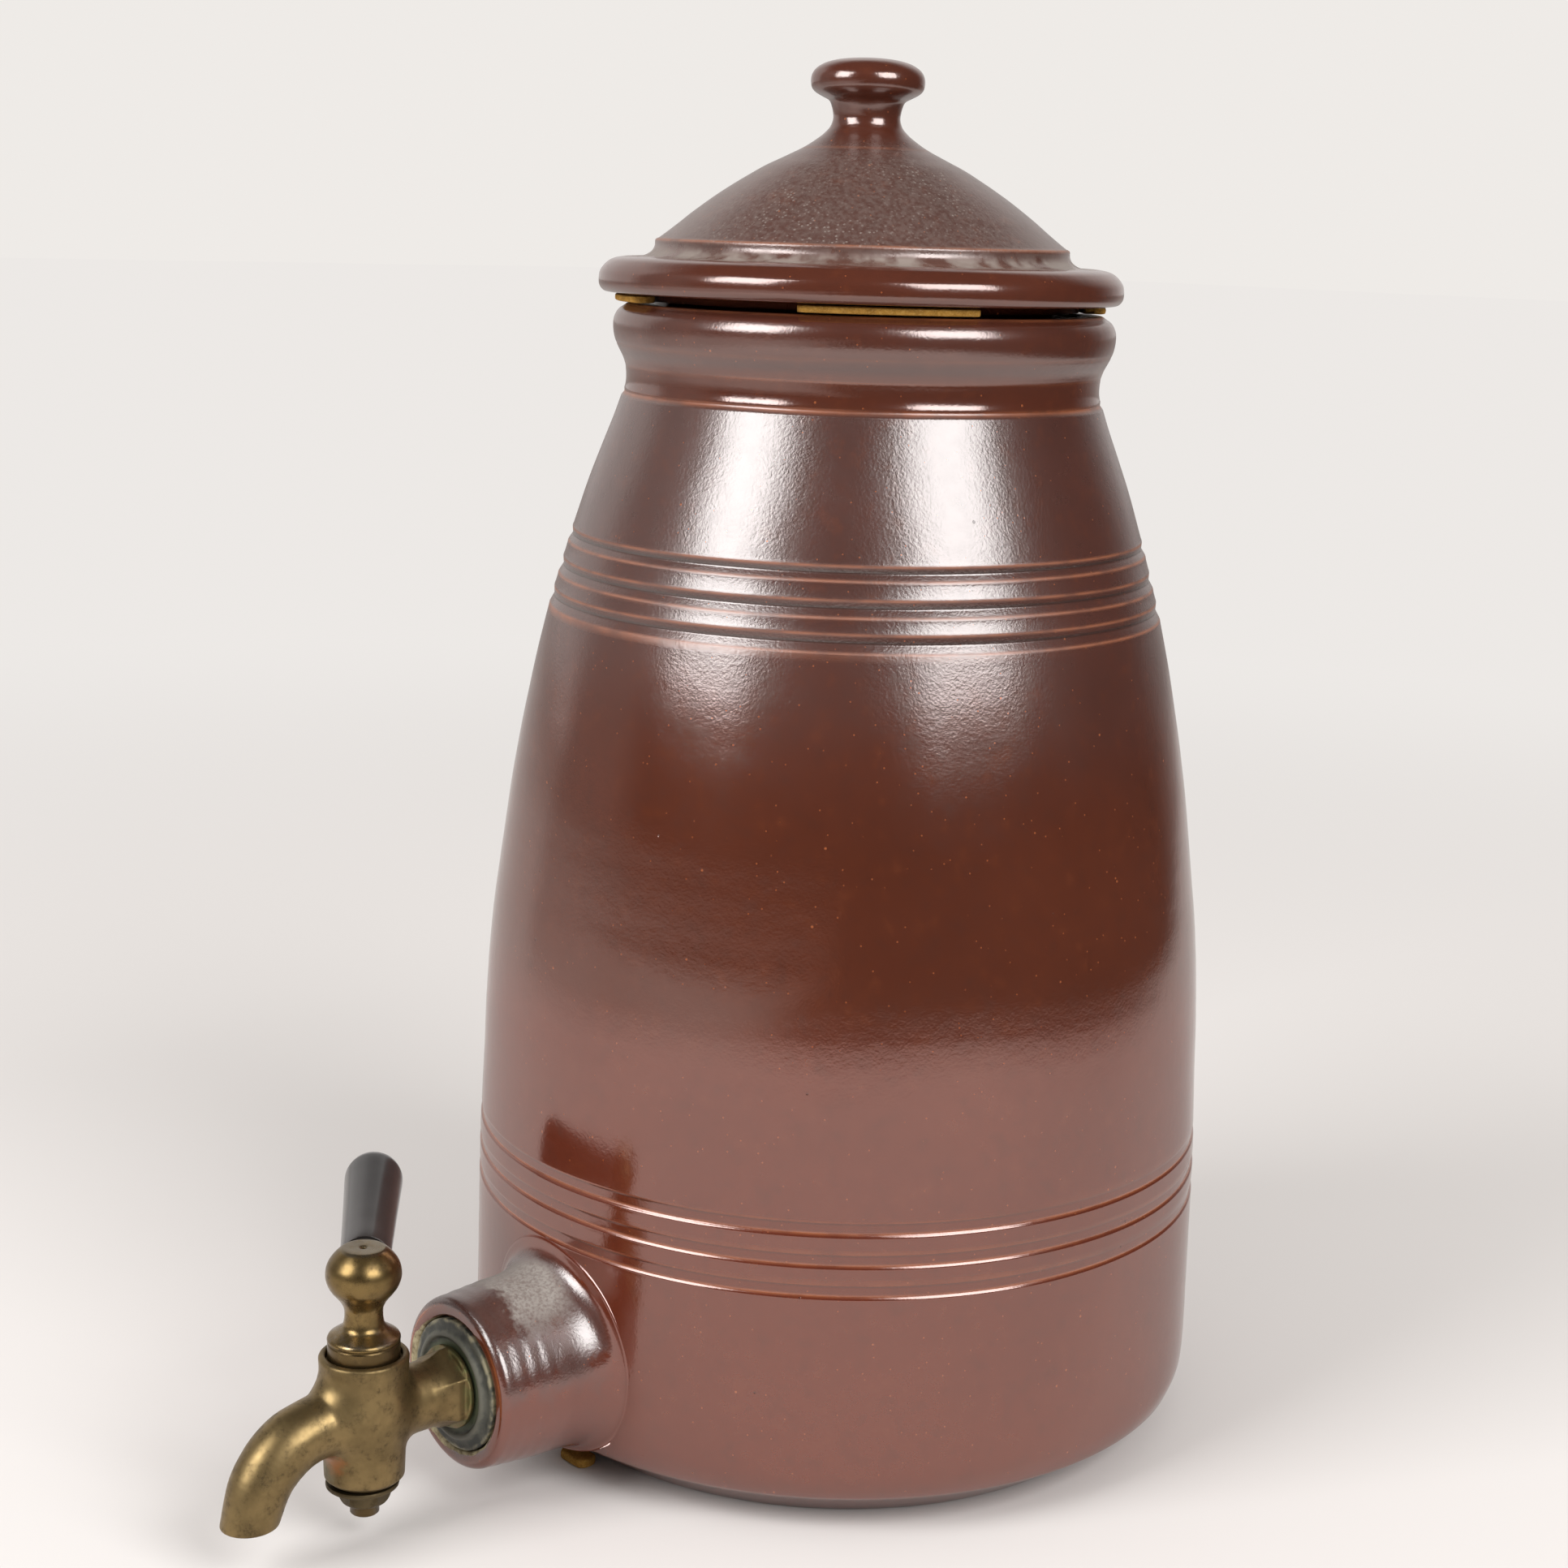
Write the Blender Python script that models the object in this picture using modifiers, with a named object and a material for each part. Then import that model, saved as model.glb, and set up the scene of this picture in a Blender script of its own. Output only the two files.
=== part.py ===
"""Stoneware water jar with a lid, a rubber-sealed brass tap and felt pads.

Metres, +Z up. The origin is the centre of the jar's flat foot and the tap points along -Y.
Each physical piece is one object, and each turning or lifting piece hangs on its own axis.
"""

import math

import bmesh
import bpy
from mathutils import Matrix, Vector

# Clearances
GAP = 0.0003
TURNING_FIT = 0.00022
OVERRUN = 0.004

# Jar
POT_RADIUS = 0.0812
POT_HEIGHT = 0.2447
POT_WALL = 0.0072
POT_FLOOR = 0.0124
FOOT_RADIUS = 0.0665
FOOT_RISE = 0.0092
EDGE_RADIUS = 0.0794
EDGE_ROUND_RADIUS = 0.0055
SIDE_HEIGHT = 0.0350
NECK_RADIUS = 0.0509
NECK_HEIGHT = 0.2287
RIM_RADIUS = 0.0537
RIM_BEAD_RISE = 0.0123
RIM_ROUND_RADIUS = 0.0028
FLOOR_ROUND_RADIUS = 0.0090
# Height and drawn-in radius between the straight side and the neck
SHOULDER_shares = (
    (0.00, 0.010),
    (0.14, 0.015),
    (0.22, 0.040),
    (0.31, 0.055),
    (0.39, 0.090),
    (0.48, 0.168),
    (0.56, 0.240),
    (0.65, 0.340),
    (0.73, 0.455),
    (0.82, 0.612),
    (0.88, 0.735),
    (0.92, 0.835),
    (0.96, 0.925),
    (1.00, 1.000),
)
# Height of each turned groove on the jar
UPPER_GROOVE_HEIGHT = 0.1956
LOWER_GROOVE_HEIGHT = 0.0662
GROOVE_PITCH = 0.0065
GROOVES_PER_BAND = 3
GROOVE_WIDTH = 0.0026
GROOVE_DEPTH = 0.0007

# Boss that carries the tap, luted onto the jar
BOSS_HEIGHT = 0.0269
BOSS_REACH = 0.1047
BOSS_RADIUS = 0.0189
BOSS_MOUTH_RADIUS = 0.0180
BOSS_EDGE_ROUND_RADIUS = 0.0019
BOSS_BORE_RADIUS = 0.0140
BOSS_BORE_END_RADIUS = 0.0127
FILLET_LENGTH = 0.0105
FILLET_SIDE_SPREAD = 0.0042
FILLET_TOP_SPREAD = 0.0021
FILLET_BOTTOM_DRAW = 0.0042
FILLET_POWER = 2.3

# Lid
LID_LIFT_GAP = 0.0022
# The lid rests this far off the jar's axis, in this direction
LID_SHIFT = 0.0010
LID_SHIFT_TURN = math.radians(228.3)
LID_RADIUS = 0.0559
LID_SHELF_HEIGHT = 0.0075
LID_STEP_RADIUS = 0.0441
LID_STEP_HEIGHT = 0.0111
LID_DOME_HEIGHT = 0.0355
LID_WALL = 0.0050
LID_RING_DEPTH = 0.0085
LID_RING_WALL = 0.0037
LID_RING_CLEARANCE = 0.0012
KNOB_NECK_RADIUS = 0.00712
KNOB_NECK_HEIGHT = 0.0375
KNOB_RADIUS = 0.01204
KNOB_HEIGHT = 0.0495
# Height and radius of the dome, between its top and the step ring
DOME_shares = (
    (1.00, 0.013),
    (0.955, 0.037),
    (0.905, 0.071),
    (0.825, 0.154),
    (0.74, 0.265),
    (0.655, 0.375),
    (0.57, 0.472),
    (0.485, 0.561),
    (0.40, 0.646),
    (0.315, 0.724),
    (0.23, 0.797),
    (0.15, 0.865),
    (0.06, 0.937),
)
# Radius between the step and the edge, and height, of the shelf and the rounded edge
LID_EDGE_shares = (
    (0.03, 1.23),
    (0.21, 1.00),
    (0.52, 1.00),
    (0.78, 0.90),
    (0.93, 0.71),
    (1.00, 0.46),
    (1.00, 0.19),
    (0.91, 0.00),
)
# Height above the neck, and radius, of the knob
KNOB_shares = (
    (1.00, 0.00),
    (1.00, 0.29),
    (0.97, 0.54),
    (0.91, 0.75),
    (0.82, 0.91),
    (0.71, 0.98),
    (0.60, 1.00),
    (0.48, 0.98),
    (0.40, 0.91),
    (0.33, 0.79),
    (0.27, 0.67),
    (0.17, 0.62),
)

# Felt
PAD_COUNT = 4
PAD_ARC = math.radians(42)
PAD_FIRST = math.radians(53.8)
PAD_THICKNESS = LID_LIFT_GAP - 2 * GAP
PAD_WIDTH = 0.0052
PAD_OUTER_RADIUS = 0.0524
FOOT_PAD_THICKNESS = 0.0022
FOOT_PAD_WIDTH = 0.0050
FOOT_PAD_ARC = math.radians(9)
FOOT_PAD_TURN = math.radians(1.5)

# Rubber bung
BUNG_END_REACH = 0.0670
BUNG_LIP_RADIUS = 0.0113
BUNG_LIP_WIDTH = 0.0011
BUNG_LIP_HEIGHT = 0.0009
BUNG_END_ROUND_RADIUS = 0.0015

# Brass tap
TAP_REACH = 0.1263
TAIL_END_REACH = 0.0590
TAIL_RADIUS = 0.0053
WATERWAY_RADIUS = 0.0030
COLLAR_RADIUS = 0.00875
COLLAR_WIDTH = 0.0008
HEX_FLAT = 0.00735
HEX_LENGTH = 0.0022
HEX_FLARE_LENGTH = 0.0042
SHANK_RADIUS = 0.0069
SHANK_ROOT_RADIUS = 0.0078
BARREL_TOP_HEIGHT = 0.0399
BARREL_BOTTOM_HEIGHT = 0.0129
BARREL_TOP_RADIUS = 0.00905
BARREL_FOOT_RADIUS = 0.00805
BARREL_ROUND_RADIUS = 0.0008
BARREL_CHAMFER = 0.0013
BARREL_MOUTH_RADIUS = 0.0077
BARREL_MOUTH_DEPTH = 0.0015
SPOUT_REACH = 0.02635
SPOUT_ROOT_HEIGHT = 0.0279
SPOUT_DROP = 0.0170
SPOUT_TIP_HEIGHT = 0.0111
SPOUT_RADIUS = 0.0063
SPOUT_WALL = 0.0016
# Reach, drop and radius along the middle of the spout, from the barrel's axis to the tip
SPOUT_shares = (
    (0.00, 0.00, 1.33),
    (0.14, 0.00, 1.30),
    (0.32, 0.03, 1.06),
    (0.48, 0.06, 1.00),
    (0.63, 0.13, 1.01),
    (0.755, 0.26, 1.00),
    (0.845, 0.41, 0.98),
    (0.905, 0.55, 0.97),
    (0.95, 0.73, 0.94),
    (1.00, 1.00, 0.885),
)

# Turning plug
PLUG_TOP_RADIUS = 0.00628
PLUG_FOOT_RADIUS = 0.0049
PLUG_COLLAR_HEIGHT = 0.0432
PLUG_COLLAR_RADIUS = 0.0073
PLUG_NECK_HEIGHT = 0.0485
PLUG_NECK_RADIUS = 0.00383
BALL_HEIGHT = 0.0568
BALL_RADIUS = 0.0075
BALL_TOP_HEIGHT = 0.0622
BALL_TOP_RADIUS = 0.0043
BALL_FLAT_REACH = 0.0059
DIMPLE_RADIUS = 0.0009
STUD_RADIUS = 0.00295
STUD_END_HEIGHT = 0.00555
WASHER_RADIUS = 0.0074
WASHER_THICKNESS = 0.0009
NUT_FLAT = 0.00464
NUT_HEIGHT = 0.0033
NUT_TURN = math.radians(25)
NUT_END_RADIUS = 0.0040
# Height and radius of the ball head above and below its middle
BALL_UPPER_shares = ((1.00, 0.00), (0.89, 0.23), (0.68, 0.57), (0.43, 0.85), (0.15, 1.00))
BALL_LOWER_shares = ((0.09, 1.00), (0.29, 0.85), (0.45, 0.62), (0.60, 0.34), (0.72, 0.15), (0.86, 0.03))
# Height and radius between the collar's edge and the neck
COLLAR_shares = ((0.79, 0.01), (0.57, 0.08), (0.42, 0.23), (0.30, 0.48), (0.20, 0.71), (0.12, 0.90), (0.00, 1.00))

# Lever handle
HANDLE_TURN = math.radians(54.6)
HANDLE_RISE = math.radians(6.2)
HANDLE_REACH = 0.0440
HANDLE_START_RADIUS = 0.0050
HANDLE_END_RADIUS = 0.0061
HANDLE_END_ROUND_RADIUS = 0.0044
STEM_RADIUS = 0.0018
STEM_SOCKET_DEPTH = 0.0032
STEM_GRIP_DEPTH = 0.0200

JAR_STEPS = 56
LID_STEPS = 40
TAP_STEPS = 32
SMALL_STEPS = 24
BOSS_STEPS = 48
PAD_STEPS = 8


def clear_scene():
    """Takes away every object that the new file brings."""
    for obj in list(bpy.data.objects):
        bpy.data.objects.remove(obj, do_unlink=True)


def make_collection(name, helper=False):
    """Makes a collection under the scene's own."""
    made = bpy.data.collections.new(name)
    made.hide_render = helper
    bpy.context.scene.collection.children.link(made)
    return made


def make_material(name, colour, roughness, metallic=0.0):
    """A plain surface with the piece's own colour."""
    made = bpy.data.materials.new(name)
    made.use_nodes = True
    shader = made.node_tree.nodes["Principled BSDF"]
    shader.inputs["Base Color"].default_value = (*colour, 1.0)
    shader.inputs["Roughness"].default_value = roughness
    shader.inputs["Metallic"].default_value = metallic
    return made


clear_scene()
PARTS = make_collection("clay_water_pot")
TOOLS = make_collection("cutters", helper=True)


def place(name, mesh, material=None):
    """Puts a mesh in the scene: a part where it has a material, a cutting or joining form where not."""
    mesh.shade_smooth()
    mesh.set_sharp_from_angle(angle=math.radians(35))
    obj = bpy.data.objects.new(name, mesh)
    if material is None:
        TOOLS.objects.link(obj)
        obj.hide_render = True
        obj.display_type = "WIRE"
    else:
        mesh.materials.clear()
        mesh.materials.append(material)
        PARTS.objects.link(obj)
    return obj


def turned(name, outline, steps, material=None, closed=False):
    """Turns an outline of (radius, height) points about +Z. It runs down the outer side."""
    mesh = bpy.data.meshes.new(name)
    points = [(radius, 0.0, height) for radius, height in outline]
    edges = [(i, i + 1) for i in range(len(points) - 1)]
    if closed:
        edges.append((len(points) - 1, 0))
    mesh.from_pydata(points, edges, [])
    obj = place(name, mesh, material)
    screw = obj.modifiers.new("turn", "SCREW")
    screw.axis = "Z"
    screw.steps = steps
    screw.render_steps = steps
    screw.use_merge_vertices = True
    screw.merge_threshold = GAP / 30
    screw.use_smooth_shade = True
    return obj


def loft(name, rings, material=None):
    """Joins closed rings of points, one after another, and caps both ends with a fan."""
    shape = bmesh.new()
    rows = [[shape.verts.new(point) for point in ring] for ring in rings]
    for low, high in zip(rows, rows[1:]):
        for i in range(len(low)):
            j = (i + 1) % len(low)
            shape.faces.new((low[i], low[j], high[j], high[i]))
    for row, flip in ((rows[0], True), (rows[-1], False)):
        middle = shape.verts.new(sum((vert.co for vert in row), Vector()) / len(row))
        for i in range(len(row)):
            j = (i + 1) % len(row)
            face = (row[j], row[i], middle) if flip else (row[i], row[j], middle)
            shape.faces.new(face)
    bmesh.ops.recalc_face_normals(shape, faces=shape.faces)
    mesh = bpy.data.meshes.new(name)
    shape.to_mesh(mesh)
    shape.free()
    return place(name, mesh, material)


def plate(name, outline, thickness, material):
    """A flat outline of (x, y) points with a thickness upwards from the object's own plane."""
    curve = bpy.data.curves.new(name, "CURVE")
    curve.dimensions = "2D"
    curve.fill_mode = "BOTH"
    curve.extrude = thickness / 2
    spline = curve.splines.new("POLY")
    spline.points.add(len(outline) - 1)
    for point, (x, y) in zip(spline.points, outline):
        point.co = (x, y, 0.0, 1.0)
    spline.use_cyclic_u = True
    curve.materials.append(material)
    obj = bpy.data.objects.new(name, curve)
    PARTS.objects.link(obj)
    return obj


def swept(name, points, radii, rounding):
    """A round bar along points, each with its own radius, made a mesh for cutting and joining."""
    curve = bpy.data.curves.new(name, "CURVE")
    curve.dimensions = "3D"
    curve.bevel_depth = radii[0]
    curve.bevel_resolution = rounding
    curve.use_fill_caps = True
    spline = curve.splines.new("POLY")
    spline.points.add(len(points) - 1)
    for point, place_at, radius in zip(spline.points, points, radii):
        point.co = (*place_at, 1.0)
        point.radius = radius / radii[0]
    guide = bpy.data.objects.new(name, curve)
    TOOLS.objects.link(guide)
    bpy.context.view_layer.update()
    graph = bpy.context.evaluated_depsgraph_get()
    mesh = bpy.data.meshes.new_from_object(guide.evaluated_get(graph))
    shape = bmesh.new()
    shape.from_mesh(mesh)
    bmesh.ops.remove_doubles(shape, verts=shape.verts, dist=GAP / 30)
    bmesh.ops.recalc_face_normals(shape, faces=shape.faces)
    shape.to_mesh(mesh)
    shape.free()
    matrix = guide.matrix_world.copy()
    bpy.data.objects.remove(guide, do_unlink=True)
    obj = place(name, mesh)
    obj.matrix_world = matrix
    return obj


def cut(obj, tool, operation="DIFFERENCE"):
    """Cuts, joins or keeps the common part of a piece with a helper form."""
    change = obj.modifiers.new(tool.name, "BOOLEAN")
    change.operation = operation
    change.solver = "EXACT"
    change.object = tool


def smooth_between(points, spans):
    """Points on a smooth curve through the given ones, with a number of steps between each two."""
    ends = [points[0], *points, points[-1]]
    found = []
    for a, b, c, d in zip(ends, ends[1:], ends[2:], ends[3:]):
        for step in range(spans):
            t = step / spans
            weights = (
                -t * (1 - t) ** 2 / 2,
                (2 - 5 * t**2 + 3 * t**3) / 2,
                (t + 4 * t**2 - 3 * t**3) / 2,
                -(t**2) * (1 - t) / 2,
            )
            found.append(tuple(sum(w * p[i] for w, p in zip(weights, (a, b, c, d))) for i in range(len(b))))
    found.append(tuple(points[-1]))
    return found


def quarter_round(centre, radius, start, steps=4):
    """(radius, height) points over a quarter circle, clockwise from the start angle in degrees."""
    return [
        (
            centre[0] + radius * math.cos(math.radians(start - 90 * i / steps)),
            centre[1] + radius * math.sin(math.radians(start - 90 * i / steps)),
        )
        for i in range(steps + 1)
    ]


GLAZE = make_material("salt_glaze", (0.16, 0.065, 0.045), 0.25)
LID_GLAZE = make_material("lid_glaze", (0.12, 0.055, 0.04), 0.3)
BRASS = make_material("aged_brass", (0.46, 0.34, 0.15), 0.35, 1.0)
PLUG_BRASS = make_material("plug_brass", (0.50, 0.37, 0.17), 0.32, 1.0)
NUT_BRASS = make_material("dull_brass", (0.30, 0.23, 0.12), 0.5, 1.0)
RUBBER = make_material("grey_rubber", (0.07, 0.07, 0.065), 0.7)
FELT = make_material("yellow_felt", (0.50, 0.36, 0.10), 0.95)
GRIP_BLACK = make_material("black_grip", (0.03, 0.027, 0.027), 0.4)


def outer_radius(height):
    """The jar's outer radius between the edge round and the neck."""
    if height <= SIDE_HEIGHT:
        return POT_RADIUS
    curve = smooth_between(SHOULDER_shares, 4)
    share = (height - SIDE_HEIGHT) / (NECK_HEIGHT - SIDE_HEIGHT)
    for (low, low_draw), (high, high_draw) in zip(curve, curve[1:]):
        if share <= high:
            part = (share - low) / (high - low)
            draw = low_draw + part * (high_draw - low_draw)
            return POT_RADIUS - draw * (POT_RADIUS - NECK_RADIUS)
    return NECK_RADIUS


def jar_outline():
    """Up the inside from the middle of the floor, over the rim, down the outside and under the foot."""
    span = NECK_HEIGHT - SIDE_HEIGHT
    heights = [SIDE_HEIGHT + share * span for share, _ in SHOULDER_shares]
    inside = [(0.0, POT_FLOOR)]
    corner = (POT_RADIUS - POT_WALL - FLOOR_ROUND_RADIUS, POT_FLOOR + FLOOR_ROUND_RADIUS)
    inside += [
        (corner[0] + FLOOR_ROUND_RADIUS * math.sin(math.radians(a)), corner[1] - FLOOR_ROUND_RADIUS * math.cos(math.radians(a)))
        for a in (0, 30, 60, 90)
    ]
    inside += [(outer_radius(z) - POT_WALL, z) for z in heights[::2]]
    mouth = NECK_RADIUS - POT_WALL
    inside.append((mouth, NECK_HEIGHT))
    inside.append((mouth, POT_HEIGHT - RIM_ROUND_RADIUS / 2))
    inside.append((mouth + RIM_ROUND_RADIUS / 2, POT_HEIGHT))
    bead = NECK_HEIGHT + RIM_BEAD_RISE
    rim = quarter_round((RIM_RADIUS - RIM_ROUND_RADIUS, POT_HEIGHT - RIM_ROUND_RADIUS), RIM_ROUND_RADIUS, 90)
    rim += [
        (RIM_RADIUS, bead),
        (RIM_RADIUS - (RIM_RADIUS - NECK_RADIUS) / 5, bead - RIM_BEAD_RISE / 3),
        (NECK_RADIUS + (RIM_RADIUS - NECK_RADIUS) / 7, bead - 2 * RIM_BEAD_RISE / 3),
    ]
    side = [(outer_radius(z), z) for z in reversed(heights)]
    for first in (UPPER_GROOVE_HEIGHT, LOWER_GROOVE_HEIGHT):
        for i in range(GROOVES_PER_BAND):
            middle = first - i * GROOVE_PITCH
            for z, depth in (
                (middle + GROOVE_WIDTH / 2, 0.0),
                (middle, GROOVE_DEPTH),
                (middle - GROOVE_WIDTH / 2, 0.0),
            ):
                side.append((outer_radius(z) - depth, z))
    side = [
        point
        for point in side
        if not any(
            GROOVE_WIDTH / 2 < abs(point[1] - (first - i * GROOVE_PITCH)) < GROOVE_WIDTH
            for first in (UPPER_GROOVE_HEIGHT, LOWER_GROOVE_HEIGHT)
            for i in range(GROOVES_PER_BAND)
        )
    ]
    side.sort(key=lambda point: -point[1])
    edge = [
        (POT_RADIUS, FOOT_RISE + EDGE_ROUND_RADIUS),
        (POT_RADIUS - (POT_RADIUS - EDGE_RADIUS) / 3, FOOT_RISE + EDGE_ROUND_RADIUS / 3),
        (EDGE_RADIUS, FOOT_RISE),
    ]
    return inside + rim + side + edge + [(FOOT_RADIUS, 0.0), (0.0, 0.0)]


def fillet_spread(angle):
    """How far the luted clay spreads past the boss where it meets the jar."""
    rise = math.sin(angle)
    if rise > 0:
        return FILLET_SIDE_SPREAD + FILLET_TOP_SPREAD * rise**1.5
    return FILLET_SIDE_SPREAD - FILLET_BOTTOM_DRAW * (-rise) ** 3


def boss_rings():
    """Rings from inside the jar's wall, out along the fillet and the boss, to the flat mouth."""
    root_radius = POT_RADIUS - POT_WALL / 2
    turns = [2 * math.pi * i / BOSS_STEPS for i in range(BOSS_STEPS)]

    def ring(radius_of, reach_of):
        points = []
        for turn in turns:
            radius = radius_of(turn)
            x = radius * math.cos(turn)
            z = BOSS_HEIGHT + radius * math.sin(turn)
            points.append(Vector((x, -reach_of(x), z)))
        return points

    def wall_reach(x, radius):
        return math.sqrt(radius**2 - x**2)

    rings = [ring(lambda a: BOSS_RADIUS + fillet_spread(a), lambda x: wall_reach(x, root_radius))]
    for part in (0.0, 0.10, 0.22, 0.36, 0.54, 0.76, 1.0):
        fall = (1 - part) ** FILLET_POWER
        rings.append(
            ring(
                lambda a, fall=fall: BOSS_RADIUS + fillet_spread(a) * fall,
                lambda x, part=part: wall_reach(x, POT_RADIUS) + FILLET_LENGTH * part,
            )
        )
    rings.append(ring(lambda a: BOSS_MOUTH_RADIUS, lambda x: BOSS_REACH - BOSS_EDGE_ROUND_RADIUS))
    rings.append(ring(lambda a: BOSS_MOUTH_RADIUS - BOSS_EDGE_ROUND_RADIUS / 3, lambda x: BOSS_REACH - BOSS_EDGE_ROUND_RADIUS / 3))
    rings.append(ring(lambda a: BOSS_MOUTH_RADIUS - BOSS_EDGE_ROUND_RADIUS, lambda x: BOSS_REACH))
    return rings


def towards_tap(obj, height):
    """Turns a form's +Z to -Y, at a height on the jar's axis."""
    obj.rotation_euler = (math.pi / 2, 0.0, 0.0)
    obj.location = (0.0, 0.0, height)
    return obj


def bung_radius(reach, clearance):
    """The tapered seat's radius at a distance from the jar's axis."""
    part = (BOSS_REACH - reach) / (BOSS_REACH - POT_RADIUS + POT_WALL)
    return BOSS_BORE_RADIUS - part * (BOSS_BORE_RADIUS - BOSS_BORE_END_RADIUS) - clearance


pot_body = turned("pot_body", jar_outline(), JAR_STEPS, GLAZE)
boss = loft("boss_form", boss_rings())
cut(pot_body, boss, "UNION")
bore_start = BOSS_REACH + OVERRUN
bore_end = POT_RADIUS - POT_WALL - 3 * OVERRUN
bore = turned(
    "boss_bore",
    [
        (0.0, bore_start),
        (bung_radius(bore_start, 0.0), bore_start),
        (bung_radius(bore_end, 0.0), bore_end),
        (0.0, bore_end),
    ],
    BOSS_STEPS,
)
towards_tap(bore, BOSS_HEIGHT)
cut(pot_body, bore)


def lid_outline():
    """From the top of the knob down the outside, under the edge, round the ring and up the hollow.

    Heights are above the lid's seat.
    """
    knob_rise = KNOB_HEIGHT - KNOB_NECK_HEIGHT
    knob = [(KNOB_RADIUS * out, KNOB_NECK_HEIGHT + knob_rise * up) for up, out in KNOB_shares]
    neck = [(KNOB_NECK_RADIUS, KNOB_NECK_HEIGHT)]
    dome_rise = LID_DOME_HEIGHT - LID_STEP_HEIGHT
    dome_run = LID_STEP_RADIUS - KNOB_NECK_RADIUS
    dome = [
        (KNOB_NECK_RADIUS + dome_run * out, LID_STEP_HEIGHT + dome_rise * up)
        for up, out in DOME_shares
    ]
    edge_run = LID_RADIUS - LID_STEP_RADIUS
    rim = [(LID_STEP_RADIUS, LID_STEP_HEIGHT)]
    rim += [(LID_STEP_RADIUS + edge_run * out, LID_SHELF_HEIGHT * up) for out, up in LID_EDGE_shares]
    seat_radius = PAD_OUTER_RADIUS - PAD_WIDTH - GAP
    ring_radius = NECK_RADIUS - POT_WALL - LID_SHIFT - LID_RING_CLEARANCE
    hollow_radius = ring_radius - LID_RING_WALL
    ring = [
        (seat_radius, 0.0),
        (seat_radius - GAP, 2 * GAP - LID_LIFT_GAP),
        (ring_radius, 2 * GAP - LID_LIFT_GAP),
        (ring_radius, LID_RING_WALL / 4 - LID_RING_DEPTH),
        (ring_radius - LID_RING_WALL / 4, -LID_RING_DEPTH),
        (hollow_radius + LID_RING_WALL / 4, -LID_RING_DEPTH),
        (hollow_radius, LID_RING_WALL / 4 - LID_RING_DEPTH),
    ]
    hollow_top = LID_DOME_HEIGHT - LID_WALL - KNOB_NECK_RADIUS
    hollow_base = LID_STEP_HEIGHT - LID_WALL
    hollow = [
        (hollow_radius * math.cos(math.radians(a)), hollow_base + (hollow_top - hollow_base) * math.sin(math.radians(a)))
        for a in (0, 25, 50, 70)
    ]
    hollow.append((0.0, hollow_top))
    return knob + neck + dome + rim + ring + hollow


LID_SEAT = POT_HEIGHT + LID_LIFT_GAP
lid_axis = bpy.data.objects.new("lid_lift_axis", None)
lid_axis.location = (LID_SHIFT * math.cos(LID_SHIFT_TURN), LID_SHIFT * math.sin(LID_SHIFT_TURN), LID_SEAT)
PARTS.objects.link(lid_axis)
lid = turned("lid", lid_outline(), LID_STEPS, LID_GLAZE)
lid.parent = lid_axis


def arc_strip(inner, outer, arc):
    """A flat strip bent about the origin, centred on -Y, with cut-off corners at both ends."""
    cut_back = (outer - inner) / 5
    trim = cut_back / outer
    turns = [arc * (i / PAD_STEPS - 1 / 2) for i in range(1, PAD_STEPS)]
    start = trim - arc / 2
    edge = [(outer, turn) for turn in [start, *turns, -start]]
    edge += [(outer - cut_back, arc / 2), (inner + cut_back, arc / 2)]
    edge += [(inner, -turn) for turn in [start, *turns, -start]]
    edge += [(inner + cut_back, -arc / 2), (outer - cut_back, -arc / 2)]
    return [(radius * math.sin(turn), -radius * math.cos(turn)) for radius, turn in edge]


for i in range(PAD_COUNT):
    strip = arc_strip(PAD_OUTER_RADIUS - PAD_WIDTH, PAD_OUTER_RADIUS, PAD_ARC)
    pad = plate(f"lid_pad_{i + 1}", strip, PAD_THICKNESS, FELT)
    pad.parent = lid_axis
    pad.location = (0.0, 0.0, -GAP - PAD_THICKNESS / 2)
    pad.rotation_euler = (0.0, 0.0, PAD_FIRST + i * 2 * math.pi / PAD_COUNT)

slope = (EDGE_RADIUS - FOOT_RADIUS) / FOOT_RISE
foot_pad_inner = FOOT_RADIUS + slope * FOOT_PAD_THICKNESS + 2 * GAP
foot_strip = arc_strip(foot_pad_inner, foot_pad_inner + FOOT_PAD_WIDTH, FOOT_PAD_ARC)
foot_pad = plate("foot_pad", foot_strip, FOOT_PAD_THICKNESS, FELT)
foot_pad.location = (0.0, 0.0, FOOT_PAD_THICKNESS / 2)
foot_pad.rotation_euler = (0.0, 0.0, FOOT_PAD_TURN)


# The bung: a tapered plug of rubber with a raised lip and a hole for the tap's tail
bung_front = BOSS_REACH + GAP
collar_back = bung_front + 2 * GAP
tap_bung = turned(
    "tap_bung",
    [
        (BUNG_LIP_RADIUS - BUNG_LIP_WIDTH, bung_front),
        (BUNG_LIP_RADIUS - BUNG_LIP_WIDTH, bung_front + BUNG_LIP_HEIGHT),
        (BUNG_LIP_RADIUS, bung_front + BUNG_LIP_HEIGHT),
        (BUNG_LIP_RADIUS + BUNG_LIP_WIDTH / 2, bung_front),
        (bung_radius(bung_front, GAP), bung_front),
        (bung_radius(BUNG_END_REACH + BUNG_END_ROUND_RADIUS, GAP), BUNG_END_REACH + BUNG_END_ROUND_RADIUS),
        (bung_radius(BUNG_END_REACH, GAP) - BUNG_END_ROUND_RADIUS, BUNG_END_REACH),
        (TAIL_RADIUS + GAP, BUNG_END_REACH),
        (TAIL_RADIUS + GAP, bung_front),
    ],
    TAP_STEPS,
    RUBBER,
    closed=True,
)
towards_tap(tap_bung, BOSS_HEIGHT)


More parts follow.
